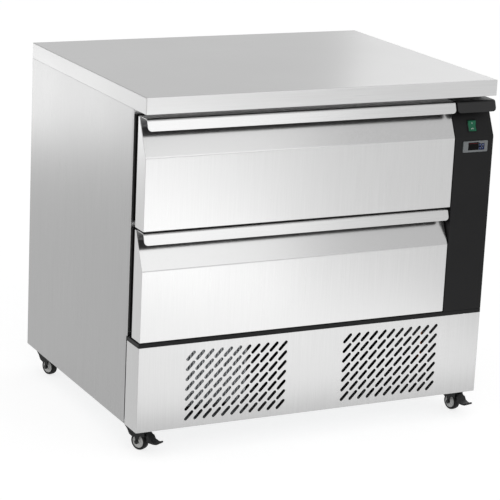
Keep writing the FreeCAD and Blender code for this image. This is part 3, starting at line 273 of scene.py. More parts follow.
slot_of = {entry["node"]: entry["material_slot"] for entry in frame["record"]["subparts"]}
for node_name, node_object in frame["nodes"].items():
    node_object.data.materials.clear()
    node_object.data.materials.append(FINISH[slot_of[node_name]])
print("finishes", len(FINISH), "on", len(slot_of), "nodes")

# %% [markdown]
# ## Finishing a piece
# Every piece ends the same way: its faces point outward, it gets its shading and its finish, and it
# rides on the body that carries it. A narrow rounding next to a large flat face would tilt the
# shading of the whole face. So each corner's normal is averaged by area, over the faces that meet
# at less than a given angle, and the large faces stay flat while the roundings bend. Where one
# sheet shows two finishes, the direction of a face decides between them.

# %% Shading and riding
bodies = frame["record"]["behaviour"]["bodies"]
body_of = {node: body for body, members in bodies.items() for node in members}
SHADE_LIMIT = math.cos(math.radians(50))


def at(x, y, z):
    """A place given in millimetres."""
    return Vector((x, y, z)) * MM


def shade(mesh):
    """Smooth shading in which large faces outweigh small ones."""
    around_vertex = {}
    for face in mesh.polygons:
        for number in face.vertices:
            around_vertex.setdefault(number, []).append((face.normal.copy(), face.area))
    normals = []
    for face in mesh.polygons:
        face.use_smooth = True
        for number in face.vertices:
            total = Vector()
            for normal, area in around_vertex[number]:
                if normal.dot(face.normal) > SHADE_LIMIT:
                    total += normal * area
            normals.append(total.normalized())
    mesh.normals_split_custom_set(normals)


def new_object(name, data):
    """Puts a mesh, a lamp or a lens into the scene."""
    made = bpy.data.objects.new(name, data)
    bpy.context.scene.collection.objects.link(made)
    return made


def finish(bm, name, body, slot, node=None, second=None, chosen=None):
    """Makes a piece that rides on a body, and that stands in for a node if one is given."""
    bmesh.ops.recalc_face_normals(bm, faces=bm.faces)
    open_edges = sum(1 for edge in bm.edges if not edge.is_manifold)
    mesh = bpy.data.meshes.new(name)
    bm.to_mesh(mesh)
    bm.free()
    shade(mesh)
    mesh.materials.append(FINISH[slot])
    if second:
        mesh.materials.append(FINISH[second])
        for face in mesh.polygons:
            face.material_index = int(chosen(face.normal))
    piece = new_object(name, mesh)
    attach(piece, body)
    if node:
        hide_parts(node)
    print(name, len(mesh.polygons), "faces", open_edges, "open edges")


# %% [markdown]
# ## Rounding, welding and pointing outward
# The pieces that the eye rests on are built from scratch with mesh operators. The plainer ones
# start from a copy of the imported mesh, whose triangles are welded and joined into whole faces again.
# Both have their sharp edges rounded, because no folded sheet or moulding has a knife edge: the
# rounding is what catches the light. A sheet gets its thickness behind its faces, so they have to
# point outward first.

# %% Mesh helpers
WELD_GAP = 0.01 * MM


def soften(bm, width, segments=3, limit=30, edges=None):
    """Rounds the edges at which faces turn by more than the limit, or only the given ones."""
    if edges is None:
        limit = math.radians(limit)
        edges = [edge for edge in bm.edges if edge.is_manifold and edge.calc_face_angle() > limit]
    sizes = {"offset": width * MM, "segments": segments, "profile": 0.5, "clamp_overlap": True}
    bmesh.ops.bevel(bm, geom=edges, offset_type="OFFSET", affect="EDGES", material=-1, **sizes)


def weld(bm):
    bmesh.ops.remove_doubles(bm, verts=bm.verts, dist=WELD_GAP)


def copy_of(node):
    """The node's mesh, welded, with its flat areas joined into single faces."""
    bm = bmesh.new()
    bm.from_mesh(frame["nodes"][node].data)
    weld(bm)
    bmesh.ops.dissolve_limit(bm, angle_limit=math.radians(1), verts=bm.verts, edges=bm.edges)
    return bm


def move_drawn(bm, drawn, way):
    """Moves the vertices of what was just drawn out."""
    fresh = [item for item in drawn if isinstance(item, bmesh.types.BMVert)]
    bmesh.ops.translate(bm, verts=fresh, vec=way)


def point_outward(bm, way):
    """Turns all faces alike, so that the face furthest along the way points that way."""
    bmesh.ops.recalc_face_normals(bm, faces=bm.faces)
    furthest = max(bm.faces, key=lambda face: face.calc_center_median().dot(way))
    if furthest.normal.dot(way) < 0:
        bmesh.ops.reverse_faces(bm, faces=bm.faces)


def rod(bm, matrix, length, radius, far_radius, segments):
    """A capped rod, tapered if its radii differ. The matrix lays it down."""
    sizes = {"depth": length * MM, "radius1": radius * MM, "radius2": far_radius * MM}
    bmesh.ops.create_cone(bm, cap_ends=True, segments=segments, matrix=matrix, **sizes)


print("weld gap", WELD_GAP)

# %% [markdown]
# ## Outlines, bands and plates
# Sheet and mouldings are flat shapes that are given depth, and so are most pieces here. An outline
# is a list of points, either across and up as seen from the front, or deep and high as seen from
# the side. It is drawn out, filled round its holes, or bridged to the next outline by a band.

# %% Outline helpers
QUARTER_STEPS = 4
# the plane of the fronts and the panel, and the radius at which sheet is folded
FRONT_Y, FOLD_RADIUS = -346.0, 2.0


def draw_out(outline, left, right):
    """A side view, as points of depth and height in millimetres, drawn out from left to right."""
    bm = bmesh.new()
    face = bm.faces.new([bm.verts.new(at(left, depth, height)) for depth, height in outline])
    drawn = bmesh.ops.extrude_face_region(bm, geom=[face])["geom"]
    move_drawn(bm, drawn, at(right - left, 0, 0))
    return bm


def closed_loop(bm, points, depth):
    """A closed outline in the plane of the fronts, through points across and up in millimetres."""
    corners = [bm.verts.new(at(x, depth, z)) for x, z in points]
    return [bm.edges.new(pair) for pair in zip(corners, corners[1:] + corners[:1])]


def arc(x, z, radius, start, turn, steps):
    """Points on an arc that starts at an angle and turns on, both in degrees."""
    angles = [math.radians(start + turn * step / steps) for step in range(steps + 1)]
    return [(x + radius * math.cos(angle), z + radius * math.sin(angle)) for angle in angles]


def rounded_rectangle(left, right, low, high, radius):
    points = []
    corners = ((right - radius, high - radius), (left + radius, high - radius))
    corners += ((left + radius, low + radius), (right - radius, low + radius))
    for quarter, (x, z) in enumerate(corners):
        points += arc(x, z, radius, 90 * quarter, 90, QUARTER_STEPS)
    return points


def rectangle(left, right, low, high):
    return [(left, low), (right, low), (right, high), (left, high)]


def inside(box, across, up):
    """Left, right, low and high of a box, drawn in from its sides."""
    left, right, low, high = box
    return left + across, right - across, low + up, high - up


def bridge(bm, loops):
    """Joins each closed outline to the next with a band of faces."""
    for first, second in zip(loops, loops[1:]):
        bmesh.ops.bridge_loops(bm, edges=first + second)


def fill_face(bm, outline, hole=()):
    """A flat face in the plane of the fronts, round a hole if there is one."""
    edges = closed_loop(bm, outline, FRONT_Y) + closed_loop(bm, hole, FRONT_Y)
    bmesh.ops.triangle_fill(bm, use_beauty=True, edges=edges)


def pierced_plate(bm, outline_at, rim, holes=()):
    """A plate with straight-walled holes. The rim goes from back to front in (inset, depth) steps."""
    outer = [closed_loop(bm, outline_at(inset), depth) for inset, depth in rim]
    bridge(bm, outer)
    front_edges, back_edges = outer[-1][:], outer[0][:]
    for hole in holes:
        near, far = closed_loop(bm, hole, rim[-1][1]), closed_loop(bm, hole, rim[0][1])
        bridge(bm, [near, far])
        front_edges += near
        back_edges += far
    for edges in (front_edges, back_edges):
        bmesh.ops.triangle_fill(bm, use_beauty=True, edges=edges)


print("plane of the fronts", FRONT_Y, "mm")

# %% [markdown]
# ## Worktop
# The worktop is one sheet folded down on all four sides over a board, with its corners welded and
# ground. Seen closely the folds have a radius of a couple of millimetres. A cube of the exact size
# with its upper edges and upright corners rounded is all it takes. The front edge looks brighter
# than the top, so the front and back faces get a lighter tone of their own: painted light.

# %% Worktop
def make_worktop():
    low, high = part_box("worktop")
    bm = bmesh.new()
    middle = Matrix.Translation((low + high) / 2) @ Matrix.Diagonal((*(high - low), 1))
    bmesh.ops.create_cube(bm, size=1, matrix=middle)
    upper = [edge for edge in bm.edges if max(vert.co.z for vert in edge.verts) > high.z - MM]
    soften(bm, FOLD_RADIUS, 4, edges=upper)
    # front and back faces take the painted light of the brighter edge
    edge = {"second": "folded_edge_painted_light", "chosen": lambda normal: abs(normal.y) > 0.5}
    finish(bm, "worktop_slab", "cabinet", "worktop_steel", "worktop", **edge)


make_worktop()

# %% [markdown]
# ## Drawer fronts
# A front is a shell folded from one sheet: upright below, sloped back above, so that fingers find
# room behind the lip. The bend between the two is a soft one, pressed with a wide tool, while the
# outer folds are tight. The side view is drawn once as six points and drawn out to the full width.
# The edges along the bend get a wide rounding, all others a narrow one. Every face that leans gets
# the slope's finish, a darker tone that paints in the shade under the lip.

# %% Shells of the fronts
SHELL_BACK = -300.0
DRAWER_LEFT, DRAWER_RIGHT = -450.5, 345.0
DRAWERS = {"drawer_1": (537.0, 791.0), "drawer_2": (278.0, 532.0)}
BEND_DROP, SLOPE_RUN, SLOPE_HEIGHT = 86.5, 40.0, 84.5
SOFT_BEND, TIGHT_FOLD = 2.6, 1.2
# upright part of the normal of a face that leans and takes the slope's painted shade
LEAST_LEAN, MOST_LEAN = 0.25, 0.8


def front_outline(bottom, top, back):
    """Side view of a front, as points of depth and height."""
    bend = top - BEND_DROP
    crest = FRONT_Y + SLOPE_RUN
    front = [(FRONT_Y, bottom), (FRONT_Y, bend), (crest, bend + SLOPE_HEIGHT), (crest, top)]
    return front + [(back, top), (back, bottom)]


def make_shell(drawer, bottom, top):
    bm = draw_out(front_outline(bottom, top, SHELL_BACK), DRAWER_LEFT, DRAWER_RIGHT)
    bend = (top - BEND_DROP) * MM
    level = [edge for edge in bm.edges if all(abs(vert.co.z - bend) < 0.1 * MM for vert in edge.verts)]
    soften(bm, SOFT_BEND, 4, edges=level)
    soften(bm, TIGHT_FOLD, 3)
    # faces that lean take the slope's darker tone, painted shade
    slope = {"second": "slope_steel_painted_shade", "chosen": lambda normal: LEAST_LEAN < abs(normal.z) < MOST_LEAN}
    finish(bm, f"{drawer}_shell", drawer, "front_steel", f"{drawer}_front", **slope)


for drawer, (bottom, top) in DRAWERS.items():
    make_shell(drawer, bottom, top)

# %% [markdown]
# ## Folded pull lip
# The lip is a strip of sheet that comes forward from the shell's upper edge and turns down, leaning
# outwards. It is built the way it is folded. First the flap is drawn flat with its two rounded
# lower corners. Its upper edge is spun about the fold's centre, then drawn back as the top plate,
# and last the sheet gets its thickness. The faces that look back or down get a darker, duller
# finish: painted shade for the hollow behind the lip.

# %% Lips
LIP_FOLD_Y, LIP_PLATE_END, LIP_INSET = -341.0, -302.0, 3.0
LIP_LEAN, LIP_LENGTH = math.atan2(9, 26.65), 27.3
LIP_RADIUS, LIP_CORNER, LIP_SHEET = 8.0, 9.0, 2.0
CORNER_STEPS, FOLD_STEPS = 6, 6
CUT_EDGE = 0.5


def flap_outline(left, right, start):
    """Points across and down the flap, with the lower corners rounded."""
    points = [(left, start), (right, start)]
    for corner, angle in ((right - LIP_CORNER, 0), (left + LIP_CORNER, 90)):
        points += arc(corner, LIP_LENGTH - LIP_CORNER, LIP_CORNER, angle, 90, CORNER_STEPS)
    return points


def make_lip(name, body, slot, left, right, top, inside_shade=None):
    bm = bmesh.new()
    # how far the rounding of the fold reaches along the flap and along the plate
    reach = LIP_RADIUS * math.tan((math.pi / 2 - LIP_LEAN) / 2)
    lean = Vector((0, -math.sin(LIP_LEAN), -math.cos(LIP_LEAN)))
    fold = Vector((0, LIP_FOLD_Y, top))
    places = [fold + lean * down + Vector((x, 0, 0)) for x, down in flap_outline(left, right, reach)]
    flap = bm.faces.new([bm.verts.new(place * MM) for place in places])
    upper = [edge for edge in flap.edges if all(vert.co.z / MM > top - reach for vert in edge.verts)]
    turned = bmesh.ops.spin(
        bm,
        geom=upper + [vert for edge in upper for vert in edge.verts],
        cent=(fold + Vector((0, reach, -LIP_RADIUS))) * MM,
        axis=(1, 0, 0),
        angle=LIP_LEAN - math.pi / 2,
        steps=FOLD_STEPS,
    )["geom_last"]
    last = [item for item in turned if isinstance(item, bmesh.types.BMEdge)]
    plate = bmesh.ops.extrude_edge_only(bm, edges=last)["geom"]
    move_drawn(bm, plate, at(0, LIP_PLATE_END - LIP_FOLD_Y - reach, 0))
    point_outward(bm, Vector((0, -1, 0)))
    bmesh.ops.solidify(bm, geom=bm.faces[:], thickness=LIP_SHEET * MM)
    soften(bm, CUT_EDGE, 2, limit=60)
    # faces that look back or down get the painted shade of the hollow behind the lip
    finish(bm, name, body, slot, second=inside_shade, chosen=lambda normal: normal.y - normal.z > 0.3)


for drawer, (bottom, top) in DRAWERS.items():
    sides = (DRAWER_LEFT + LIP_INSET, DRAWER_RIGHT - LIP_INSET)
    make_lip(f"{drawer}_pull_lip", drawer, "lip_steel", *sides, top, "lip_inside_painted_shade")

# %% [markdown]
# ## Gaskets
# The seal behind each front is an extruded rubber section, welded at the corners into a frame. Its
# foot snaps into a groove, the waist is a small bellows that lets it follow the frame, and a magnet
# strip sits in the flat head. The section is a list of points. Each point becomes a rectangle
# round the front, and bridging one rectangle to the next gives the whole frame with mitred corners.

# %% Gaskets
GASKET_BACK = -294.0
GASKET_INSET, GASKET_INSET_BELOW = 0.5, 11.0
# distance behind the front's back, and how far in from the seal's outer edge
# it runs over the foot, the bellows and the head, and back on the other side
GASKET_SECTION = [(0.0, 4.0), (0.0, 13.0), (3.2, 13.0), (4.2, 11.4), (5.6, 12.8), (7.0, 11.4)]
GASKET_SECTION += [(8.2, 13.0), (8.8, 15.6), (13.0, 15.9), (13.7, 15.0), (13.7, 1.0), (13.0, 0.1)]
GASKET_SECTION += [(8.8, 0.4), (8.2, 3.4), (7.0, 5.2), (5.6, 3.8), (4.2, 5.2), (3.2, 4.0)]


def make_gasket(drawer, bottom, top):
    bm = bmesh.new()
    loops = []
    for behind, further_in in GASKET_SECTION:
        inset = GASKET_INSET + further_in
        low = bottom + GASKET_INSET_BELOW + further_in
        outline = rectangle(DRAWER_LEFT + inset, DRAWER_RIGHT - inset, low, top - inset)
        loops.append(closed_loop(bm, outline, GASKET_BACK + behind))
    bridge(bm, loops + loops[:1])
    finish(bm, f"{drawer}_seal", drawer, "gasket_rubber", f"{drawer}_gasket")


for drawer, (bottom, top) in DRAWERS.items():
    make_gasket(drawer, bottom, top)

# %% [markdown]
# ## Slotted lower panel
# The machine bay draws its air through two fields of slanted slots, punched by a tool with round
# ends. Drawing 154 holes one by one would be tedious. The sheet is divided like a chocolate bar
# instead: a cell with one slot is repeated over the fields, plain cells fill the rest, and
# welding joins them into a single sheet. Then the ends are folded back, the folds are rounded, and
# solidify gives the sheet its thickness, a little under a millimetre.

# %% Lower panel
PANEL_LEFT, PANEL_RIGHT = -452.5, 452.5
PANEL_LOW, PANEL_TOP = 64.0, 266.0
PANEL_FOLD_DEPTH, PANEL_SHEET = 66.0, 0.8
SLOT_RUN, SLOT_RISE, SLOT_WIDTH = 15.5, 16.0, 7.9
PITCH_X, PITCH_Z = 23.6, 24.0
SLOT_COLUMNS, SLOT_ROWS = 11, 7
FIRST_SLOT = (-321.25, 92.0)
FIELD_PITCH = 407.5
END_STEPS = 5


def slot_points(middle_x, middle_z):
    """Outline of a slanted slot with half-round ends."""
    slant = math.degrees(math.atan2(SLOT_RISE, SLOT_RUN))
    points = []
    for side in (1, -1):
        x, z = middle_x + side * SLOT_RUN / 2, middle_z + side * SLOT_RISE / 2
        points += arc(x, z, SLOT_WIDTH / 2, slant - side * 90, 180, END_STEPS)
    return points


def cell_edges(first, count, pitch):
    """Borders of a row of cells, from the middle of the first one."""
    return [first - pitch / 2 + pitch * number for number in range(count + 1)]


def make_lower_panel():
    bm = bmesh.new()
    columns = [PANEL_LEFT]
    for field in range(2):
        columns += cell_edges(FIRST_SLOT[0] + field * FIELD_PITCH, SLOT_COLUMNS, PITCH_X)
    columns.append(PANEL_RIGHT)
    rows = [PANEL_LOW, *cell_edges(FIRST_SLOT[1], SLOT_ROWS, PITCH_Z), PANEL_TOP]
    plain_columns = (0, SLOT_COLUMNS + 1, 2 * SLOT_COLUMNS + 2)
    for i, (left, right) in enumerate(zip(columns, columns[1:])):
        for j, (low, high) in enumerate(zip(rows, rows[1:])):
            slotted = i not in plain_columns and 0 < j <= SLOT_ROWS
            slot = slot_points((left + right) / 2, (low + high) / 2) if slotted else ()
            fill_face(bm, rectangle(left, right, low, high), slot)
    weld(bm)
    for x in (PANEL_LEFT * MM, PANEL_RIGHT * MM):
        ends = [edge for edge in bm.edges if all(abs(v.co.x - x) < WELD_GAP for v in edge.verts)]
        folded = bmesh.ops.extrude_edge_only(bm, edges=ends)["geom"]
        move_drawn(bm, folded, at(0, PANEL_FOLD_DEPTH, 0))
    point_outward(bm, Vector((0, -1, 0)))
    soften(bm, FOLD_RADIUS, 3)
    bmesh.ops.solidify(bm, geom=bm.faces[:], thickness=PANEL_SHEET * MM)
    finish(bm, "slotted_front_panel", "cabinet", "panel_steel", "lower_front_panel")


make_lower_panel()

# %% [markdown]
# ## Control column
# The column is one injection moulding: a shell 3 mm thick, open at the back, with a window for the
# thermostat and one for the switch. Its faces are laid down as outer skin first, the two pierced
# ones filled round their holes. A moulding has generous radii where two faces meet, so the long
# edges are rounded by nearly 3 mm before solidify gives the wall. Its lip is made like those of the
# drawers, only in plastic.

# %% Column
COLUMN_LEFT, COLUMN_RIGHT, COLUMN_BACK = 347.0, 452.5, -280.0
COLUMN_LOW, COLUMN_TOP, COLUMN_WALL = 276.0, 791.0, 3.0
COLUMN_ROUNDING = 2.8
BEND = COLUMN_TOP - BEND_DROP
LEAN = math.atan2(SLOPE_RUN, SLOPE_HEIGHT)
SWITCH_X, SWITCH_Z = 396.5, BEND + 25.0 / math.cos(LEAN)
SWITCH_WIDTH, SWITCH_LENGTH = 26.0, 33.0
# left, right, low and high of the switch's frame, before it is leant back, and of the bezel
SWITCH = (SWITCH_X - SWITCH_WIDTH / 2, SWITCH_X + SWITCH_WIDTH / 2)
SWITCH += (SWITCH_Z - SWITCH_LENGTH / 2, SWITCH_Z + SWITCH_LENGTH / 2)
THERMOSTAT = (368.0, 436.0, 668.5, 695.5)
# how far they cover the rims of their openings, across and up
SWITCH_COVER, BEZEL_COVER = (1, 1), (3, 2)


def onto_slope(bm, verts):
    """Leans what was drawn in the plane of the fronts back onto the column's slope."""
    turn = Matrix.Rotation(-LEAN, 4, "X")
    bmesh.ops.rotate(bm, verts=verts, cent=at(0, FRONT_Y, BEND), matrix=turn)


def make_column():
    bm = bmesh.new()
    hole = rectangle(*inside(THERMOSTAT, *BEZEL_COVER))
    fill_face(bm, rectangle(COLUMN_LEFT, COLUMN_RIGHT, COLUMN_LOW, BEND), hole)
    below = set(bm.verts)
    slope_length = SLOPE_HEIGHT / math.cos(LEAN)
    hole = rectangle(*inside(SWITCH, *SWITCH_COVER))
    fill_face(bm, rectangle(COLUMN_LEFT, COLUMN_RIGHT, BEND, BEND + slope_length), hole)
    onto_slope(bm, [vert for vert in bm.verts if vert not in below])
    profile = front_outline(COLUMN_LOW, COLUMN_TOP, COLUMN_BACK)
    ends = [[bm.verts.new(at(x, y, z)) for y, z in profile] for x in (COLUMN_LEFT, COLUMN_RIGHT)]
    for end in ends:
        bm.faces.new(end)
    # the crest, the top and the bottom join the two ends
    for first, second in ((2, 3), (3, 4), (5, 0)):
        bm.faces.new((ends[0][first], ends[0][second], ends[1][second], ends[1][first]))
    weld(bm)
    point_outward(bm, Vector((0, 0, 1)))
    soften(bm, COLUMN_ROUNDING, 4, limit=8)
    bmesh.ops.solidify(bm, geom=bm.faces[:], thickness=COLUMN_WALL * MM)
    finish(bm, "column_shell", "cabinet", "black_moulding", "control_column")


make_column()
# the column's lip is a shade lighter than the column: painted light
make_lip("column_pull_lip", "cabinet", "lip_moulding", COLUMN_LEFT, COLUMN_RIGHT, COLUMN_TOP)

# %% [markdown]
# ## Switch
# The mains switch is a snap-in rocker switch. A frame with rounded corners rests on the slope, and
# behind it a case with a well goes through the moulding. The frame is a pierced plate. The case is
# one chain of rectangles, bridged from its outer wall over the rim to the floor of the well. Both
# are drawn upright, in the plane of the fronts, and then leant back onto the slope.

# %% Switch frame
FRAME_RISE, FRAME_RADIUS = 1.5, 2.5
WELL_MARGIN, CASE_MARGIN = 2.2, 1.2
WELL_DEPTH, CASE_DEPTH = 14.0, 22.0


def switch_outline(inset):
    return rectangle(*inside(SWITCH, inset, inset))


def frame_outline(inset):
    return rounded_rectangle(*inside(SWITCH, inset, inset), FRAME_RADIUS - inset)


def make_switch_frame():
    bm = bmesh.new()
    top = FRONT_Y - FRAME_RISE
    rim = [(0, FRONT_Y), (0, top + 0.7), (0.2, top + 0.2), (0.7, top)]
    pierced_plate(bm, frame_outline, rim, [switch_outline(WELL_MARGIN)])
    case = ((CASE_MARGIN, CASE_DEPTH), (CASE_MARGIN, 0), (WELL_MARGIN, 0), (WELL_MARGIN, WELL_DEPTH))
    loops = [closed_loop(bm, switch_outline(inset), FRONT_Y + depth) for inset, depth in case]
    bridge(bm, loops)
    for loop in (loops[0], loops[-1]):
        bmesh.ops.contextual_create(bm, geom=loop)
    onto_slope(bm, bm.verts)
    finish(bm, "switch_frame", "cabinet", "black_moulding", "switch_housing")


make_switch_frame()

# %% [markdown]
# ## Rocker
# The rocker turns in the well on a pin. Its cap is a shallow V with rounded ends, so that one end
# always stands proud. Half of the side view is a short list and an arc about the pin, the other
# half mirrors it, and the whole is drawn out to the rocker's width. Then it is tilted to its rest
# angle and leant onto the slope.

# %% Rocker
ROCKER_REACH, ROCKER_WIDTH = SWITCH_LENGTH / 2 - 2.5, SWITCH_WIDTH - 5
PIVOT_DEPTH, ROCKER_ANGLE = 3.0, math.radians(8)
# distance from the pivot towards an end, and how far the cap stands out there
ROCKER_CAP = [(12.6, 5.2), (12.0, 5.7), (11.0, 5.7), (8.0, 5.0), (4.0, 4.1), (0.0, 3.7)]
# the end of the cap below them, an arc about the pivot in degrees
ROCKER_ARC = (15, 0, -15, -28, -40)


def turn_with_rocker(bm):
    """Tilts what was drawn upright to the rocker's rest angle, and leans it onto the slope."""
    pivot = at(0, FRONT_Y + PIVOT_DEPTH, SWITCH_Z)
    bmesh.ops.rotate(bm, verts=bm.verts, cent=pivot, matrix=Matrix.Rotation(ROCKER_ANGLE, 4, "X"))
    onto_slope(bm, bm.verts)


def make_rocker():
    arc = [math.radians(degrees) for degrees in ROCKER_ARC]
    half = ROCKER_CAP[::-1] + [(ROCKER_REACH * math.cos(a), ROCKER_REACH * math.sin(a)) for a in arc]
    section = [(-away, out) for away, out in reversed(half) if away] + half
    outline = [(FRONT_Y + PIVOT_DEPTH - out, SWITCH_Z + away) for away, out in section]
    bm = draw_out(outline, SWITCH_X - ROCKER_WIDTH / 2, SWITCH_X + ROCKER_WIDTH / 2)
    soften(bm, CUT_EDGE, 2, limit=60)
    turn_with_rocker(bm)
    finish(bm, "rocker_cap", "power_rocker", "rocker_green", "power_rocker")


make_rocker()

# %% [markdown]
# ## Marks on the rocker
# Plain marks tell the two ends of a rocker apart, a ring for off and a bar for on. Real ink is a few
# hundredths of a millimetre thick. Each mark is a thin plate here that barely rises above the cap,
# so that it stays crisp at any distance and moves with the rocker.

# %% Marks on the rocker
# thickness of a mark, and how far the rocker's marks lie out from the pivot
MARK_THICKNESS, MARK_OUT = 0.3, 5.0
RING_DOWN, RING_RADII = 7.6, (2.9, 1.8)
BAR_HALF, BAR_ENDS = 0.8, (4.9, 10.4)


def make_mark(name, body, outline, front, on_rocker=False, holes=(), slot="printed_mark"):
    """A printed mark as a thin plate with its face at the given depth."""
    bm = bmesh.new()
    pierced_plate(bm, lambda inset: outline, [(0, front + MARK_THICKNESS), (0, front)], holes)
    if on_rocker:
        turn_with_rocker(bm)
    finish(bm, name, body, slot)


def circle(x, z, radius, steps=16):
    return arc(x, z, radius, 0, 360, steps)[:-1]


def mark_rocker():
    front = FRONT_Y + PIVOT_DEPTH - MARK_OUT
    ring, hole = (circle(SWITCH_X, SWITCH_Z - RING_DOWN, radius) for radius in RING_RADII)
    make_mark("rocker_ring", "power_rocker", ring, front, True, [hole], "rocker_mark")
    low, high = (SWITCH_Z + end for end in BAR_ENDS)
    bar = rectangle(SWITCH_X - BAR_HALF, SWITCH_X + BAR_HALF, low, high)
    make_mark("rocker_bar", "power_rocker", bar, front, True, slot="rocker_mark")


mark_rocker()

# %% [markdown]
# ## Thermostat
# The controller is a flat bezel clipped into the column, with a smoked window for the display and a
# membrane with four keys beside it. The bezel is a plate with a rounded rim and straight-walled
# openings. It needs no depth behind the window, only the case that holds it from inside.

# %% Bezel
BEZEL_FRONT, BEZEL_BACK, BEZEL_RADIUS = -349.0, -346.0, 2.5
CASE_FRONT, CASE_BACK, CASE_INSET = -344.4, -294.0, (3.5, 2.5)
WINDOW = (381.5, 410.5, 673.5, 692.5)
KEY_SIZE, KEY_GAP = 6.0, 0.3
KEY_X, KEY_Z, KEY_PITCH = 417.8, 682.0, 7.6
KEY_PLACES = [
    (KEY_X + column * KEY_PITCH / 2, KEY_Z + row * KEY_PITCH / 2)
    for row in (1, -1)
    for column in (-1, 1)
]


def square_at(x, z, half):
    return rectangle(x - half, x + half, z - half, z + half)


def key_openings():
    return [square_at(x, z, KEY_SIZE / 2 + KEY_GAP) for x, z in KEY_PLACES]


def bezel_outline(inset):
    return rounded_rectangle(*inside(THERMOSTAT, inset, inset), BEZEL_RADIUS - inset)


def make_bezel():
    bm = bmesh.new()
    rim = [(0, BEZEL_BACK), (0, BEZEL_FRONT + 1.2), (0.4, BEZEL_FRONT + 0.4), (1.2, BEZEL_FRONT)]
    pierced_plate(bm, bezel_outline, rim, [rectangle(*WINDOW), *key_openings()])
    case = rectangle(*inside(THERMOSTAT, *CASE_INSET))
    pierced_plate(bm, lambda inset: case, [(0, CASE_BACK), (0, CASE_FRONT)])
    finish(bm, "thermostat_bezel", "cabinet", "bezel_grey", "thermostat_housing")


make_bezel()

# %% [markdown]
# ## Display window
# The display stands behind a pane of smoked acrylic, which looks black while it is off. Only a dull
# red stripe shows along its upper edge. The pane is a plate with a small chamfer, and the stripe is
# a thin plate on its face.

# %% Window and stripe
WINDOW_FRONT, WINDOW_BACK, WINDOW_CHAMFER = -348.2, -346.5, 0.3
MARK_RISE = 0.1


def make_window():
    bm = bmesh.new()
    rim = [(0, WINDOW_BACK), (0, WINDOW_FRONT + WINDOW_CHAMFER), (WINDOW_CHAMFER, WINDOW_FRONT)]
    pierced_plate(bm, lambda inset: rectangle(*inside(WINDOW, inset, inset)), rim)
    finish(bm, "display_window", "cabinet", "window_black", "thermostat_window")
    left, right, low, high = WINDOW
    stripe = rectangle(left + 2, right - 3, high - 3.4, high - 2.6)
    make_mark("display_stripe", "cabinet", stripe, WINDOW_FRONT - MARK_RISE, slot="display_red")


make_window()

# %% [markdown]
# ## Keys
# Four small keys stand in a blue field, each in an opening of its own. They are pressed in by less
# than a millimetre. Their caps are plates with rounded rims, and they carry plain marks: an arrow
# up, a dot, an arrow down and a bar.

# %% Keys
KEY_FIELD = (411.0, 426.6, 673.5, 692.5)
KEY_FRONT, KEY_BACK = -349.8, -345.2
UP, DOWN = [(0, 1.3), (-1.4, -0.9), (1.4, -0.9)], [(0, -1.3), (1.4, 0.9), (-1.4, 0.9)]
KEY_MARKS = [UP, circle(0, 0, 1.1, 10), DOWN, rectangle(-1.4, 1.4, -0.45, 0.45)]


def make_key_field():
    bm = bmesh.new()
    rim = [(0, BEZEL_FRONT + 0.5), (0, BEZEL_FRONT - 0.2)]
    pierced_plate(bm, lambda inset: rectangle(*KEY_FIELD), rim, key_openings())
    finish(bm, "key_field", "cabinet", "key_blue")


def make_key(node, x, z, mark):
    bm = bmesh.new()
    rim = [(0, KEY_BACK), (0, KEY_FRONT + 0.5), (0.2, KEY_FRONT + 0.15), (0.6, KEY_FRONT)]
    pierced_plate(bm, lambda inset: square_at(x, z, KEY_SIZE / 2 - inset), rim)
    finish(bm, f"{node}_cap", body_of[node], "key_blue", node)
    outline = [(x + across, z + up) for across, up in mark]
    make_mark(f"{node}_mark", body_of[node], outline, KEY_FRONT - MARK_RISE)


make_key_field()
for number, ((x, z), mark) in enumerate(zip(KEY_PLACES, KEY_MARKS), 1):
    make_key(f"thermostat_key_{number}", x, z, mark)

# %% [markdown]
# ## Wheels
# A caster's wheel is a grey nylon hub with a rubber tyre moulded on. Both are turned shapes, so half
# of the section is drawn once and spun a full turn about the axle. The hub is dished between its
# rim and its boss, and the tyre's tread is slightly crowned. The wheels stand at different angles,
# because every caster swivels, so the section is spun about each wheel's own axle.

# %% Tyres and hubs
# angle at which each caster stands, in degrees
SWIVEL = {"front_left": -62, "front_right": -78, "rear_left": -70, "rear_right": -70}
# distance from the axle, and along it
TYRE_SECTION = [(15.5, -8.2), (17.5, -8.5), (19.2, -7.9), (20.4, -6.6), (20.9, -4.4), (21.0, 0.0)]
HUB_BOSS = [(3.1, -9.8), (6.0, -9.8), (6.4, -9.3), (6.8, -6.2)]
HUB_DISH = [(8.0, -5.4), (12.0, -5.4), (13.0, -6.4), (13.6, -7.6), (15.0, -7.8), (15.5, -7.3)]
HUB_SECTION = HUB_BOSS + HUB_DISH
WHEEL_STEPS = 40


def spin_section(section, centre, axle, steps):
    """A closed section of distances from the axle and along it, spun a full turn."""
    bm = bmesh.new()
    places = [Vector((0, 0, away)) + axle * along for away, along in section]
    points = [bm.verts.new(centre + place * MM) for place in places]
    edges = [bm.edges.new(pair) for pair in zip(points, points[1:] + points[:1])]
    turning = {"cent": centre, "axis": axle, "angle": math.tau, "steps": steps}
    bmesh.ops.spin(bm, geom=points + edges, use_merge=True, **turning)
    return bm


def make_wheel(place, degrees):
    low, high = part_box(f"caster_{place}_tyre")
    turn = math.radians(degrees)
    axle = Vector((-math.sin(turn), math.cos(turn), 0))
    for kind, section in (("tyre", TYRE_SECTION), ("hub", HUB_SECTION)):
        node = f"caster_{place}_{kind}"
        mirrored = [(away, -along) for away, along in reversed(section) if along]
        bm = spin_section(section + mirrored, (low + high) / 2, axle, WHEEL_STEPS)
        finish(bm, f"{node}_turned", body_of[node], slot_of[node], node)


for place, degrees in SWIVEL.items():
    make_wheel(place, degrees)

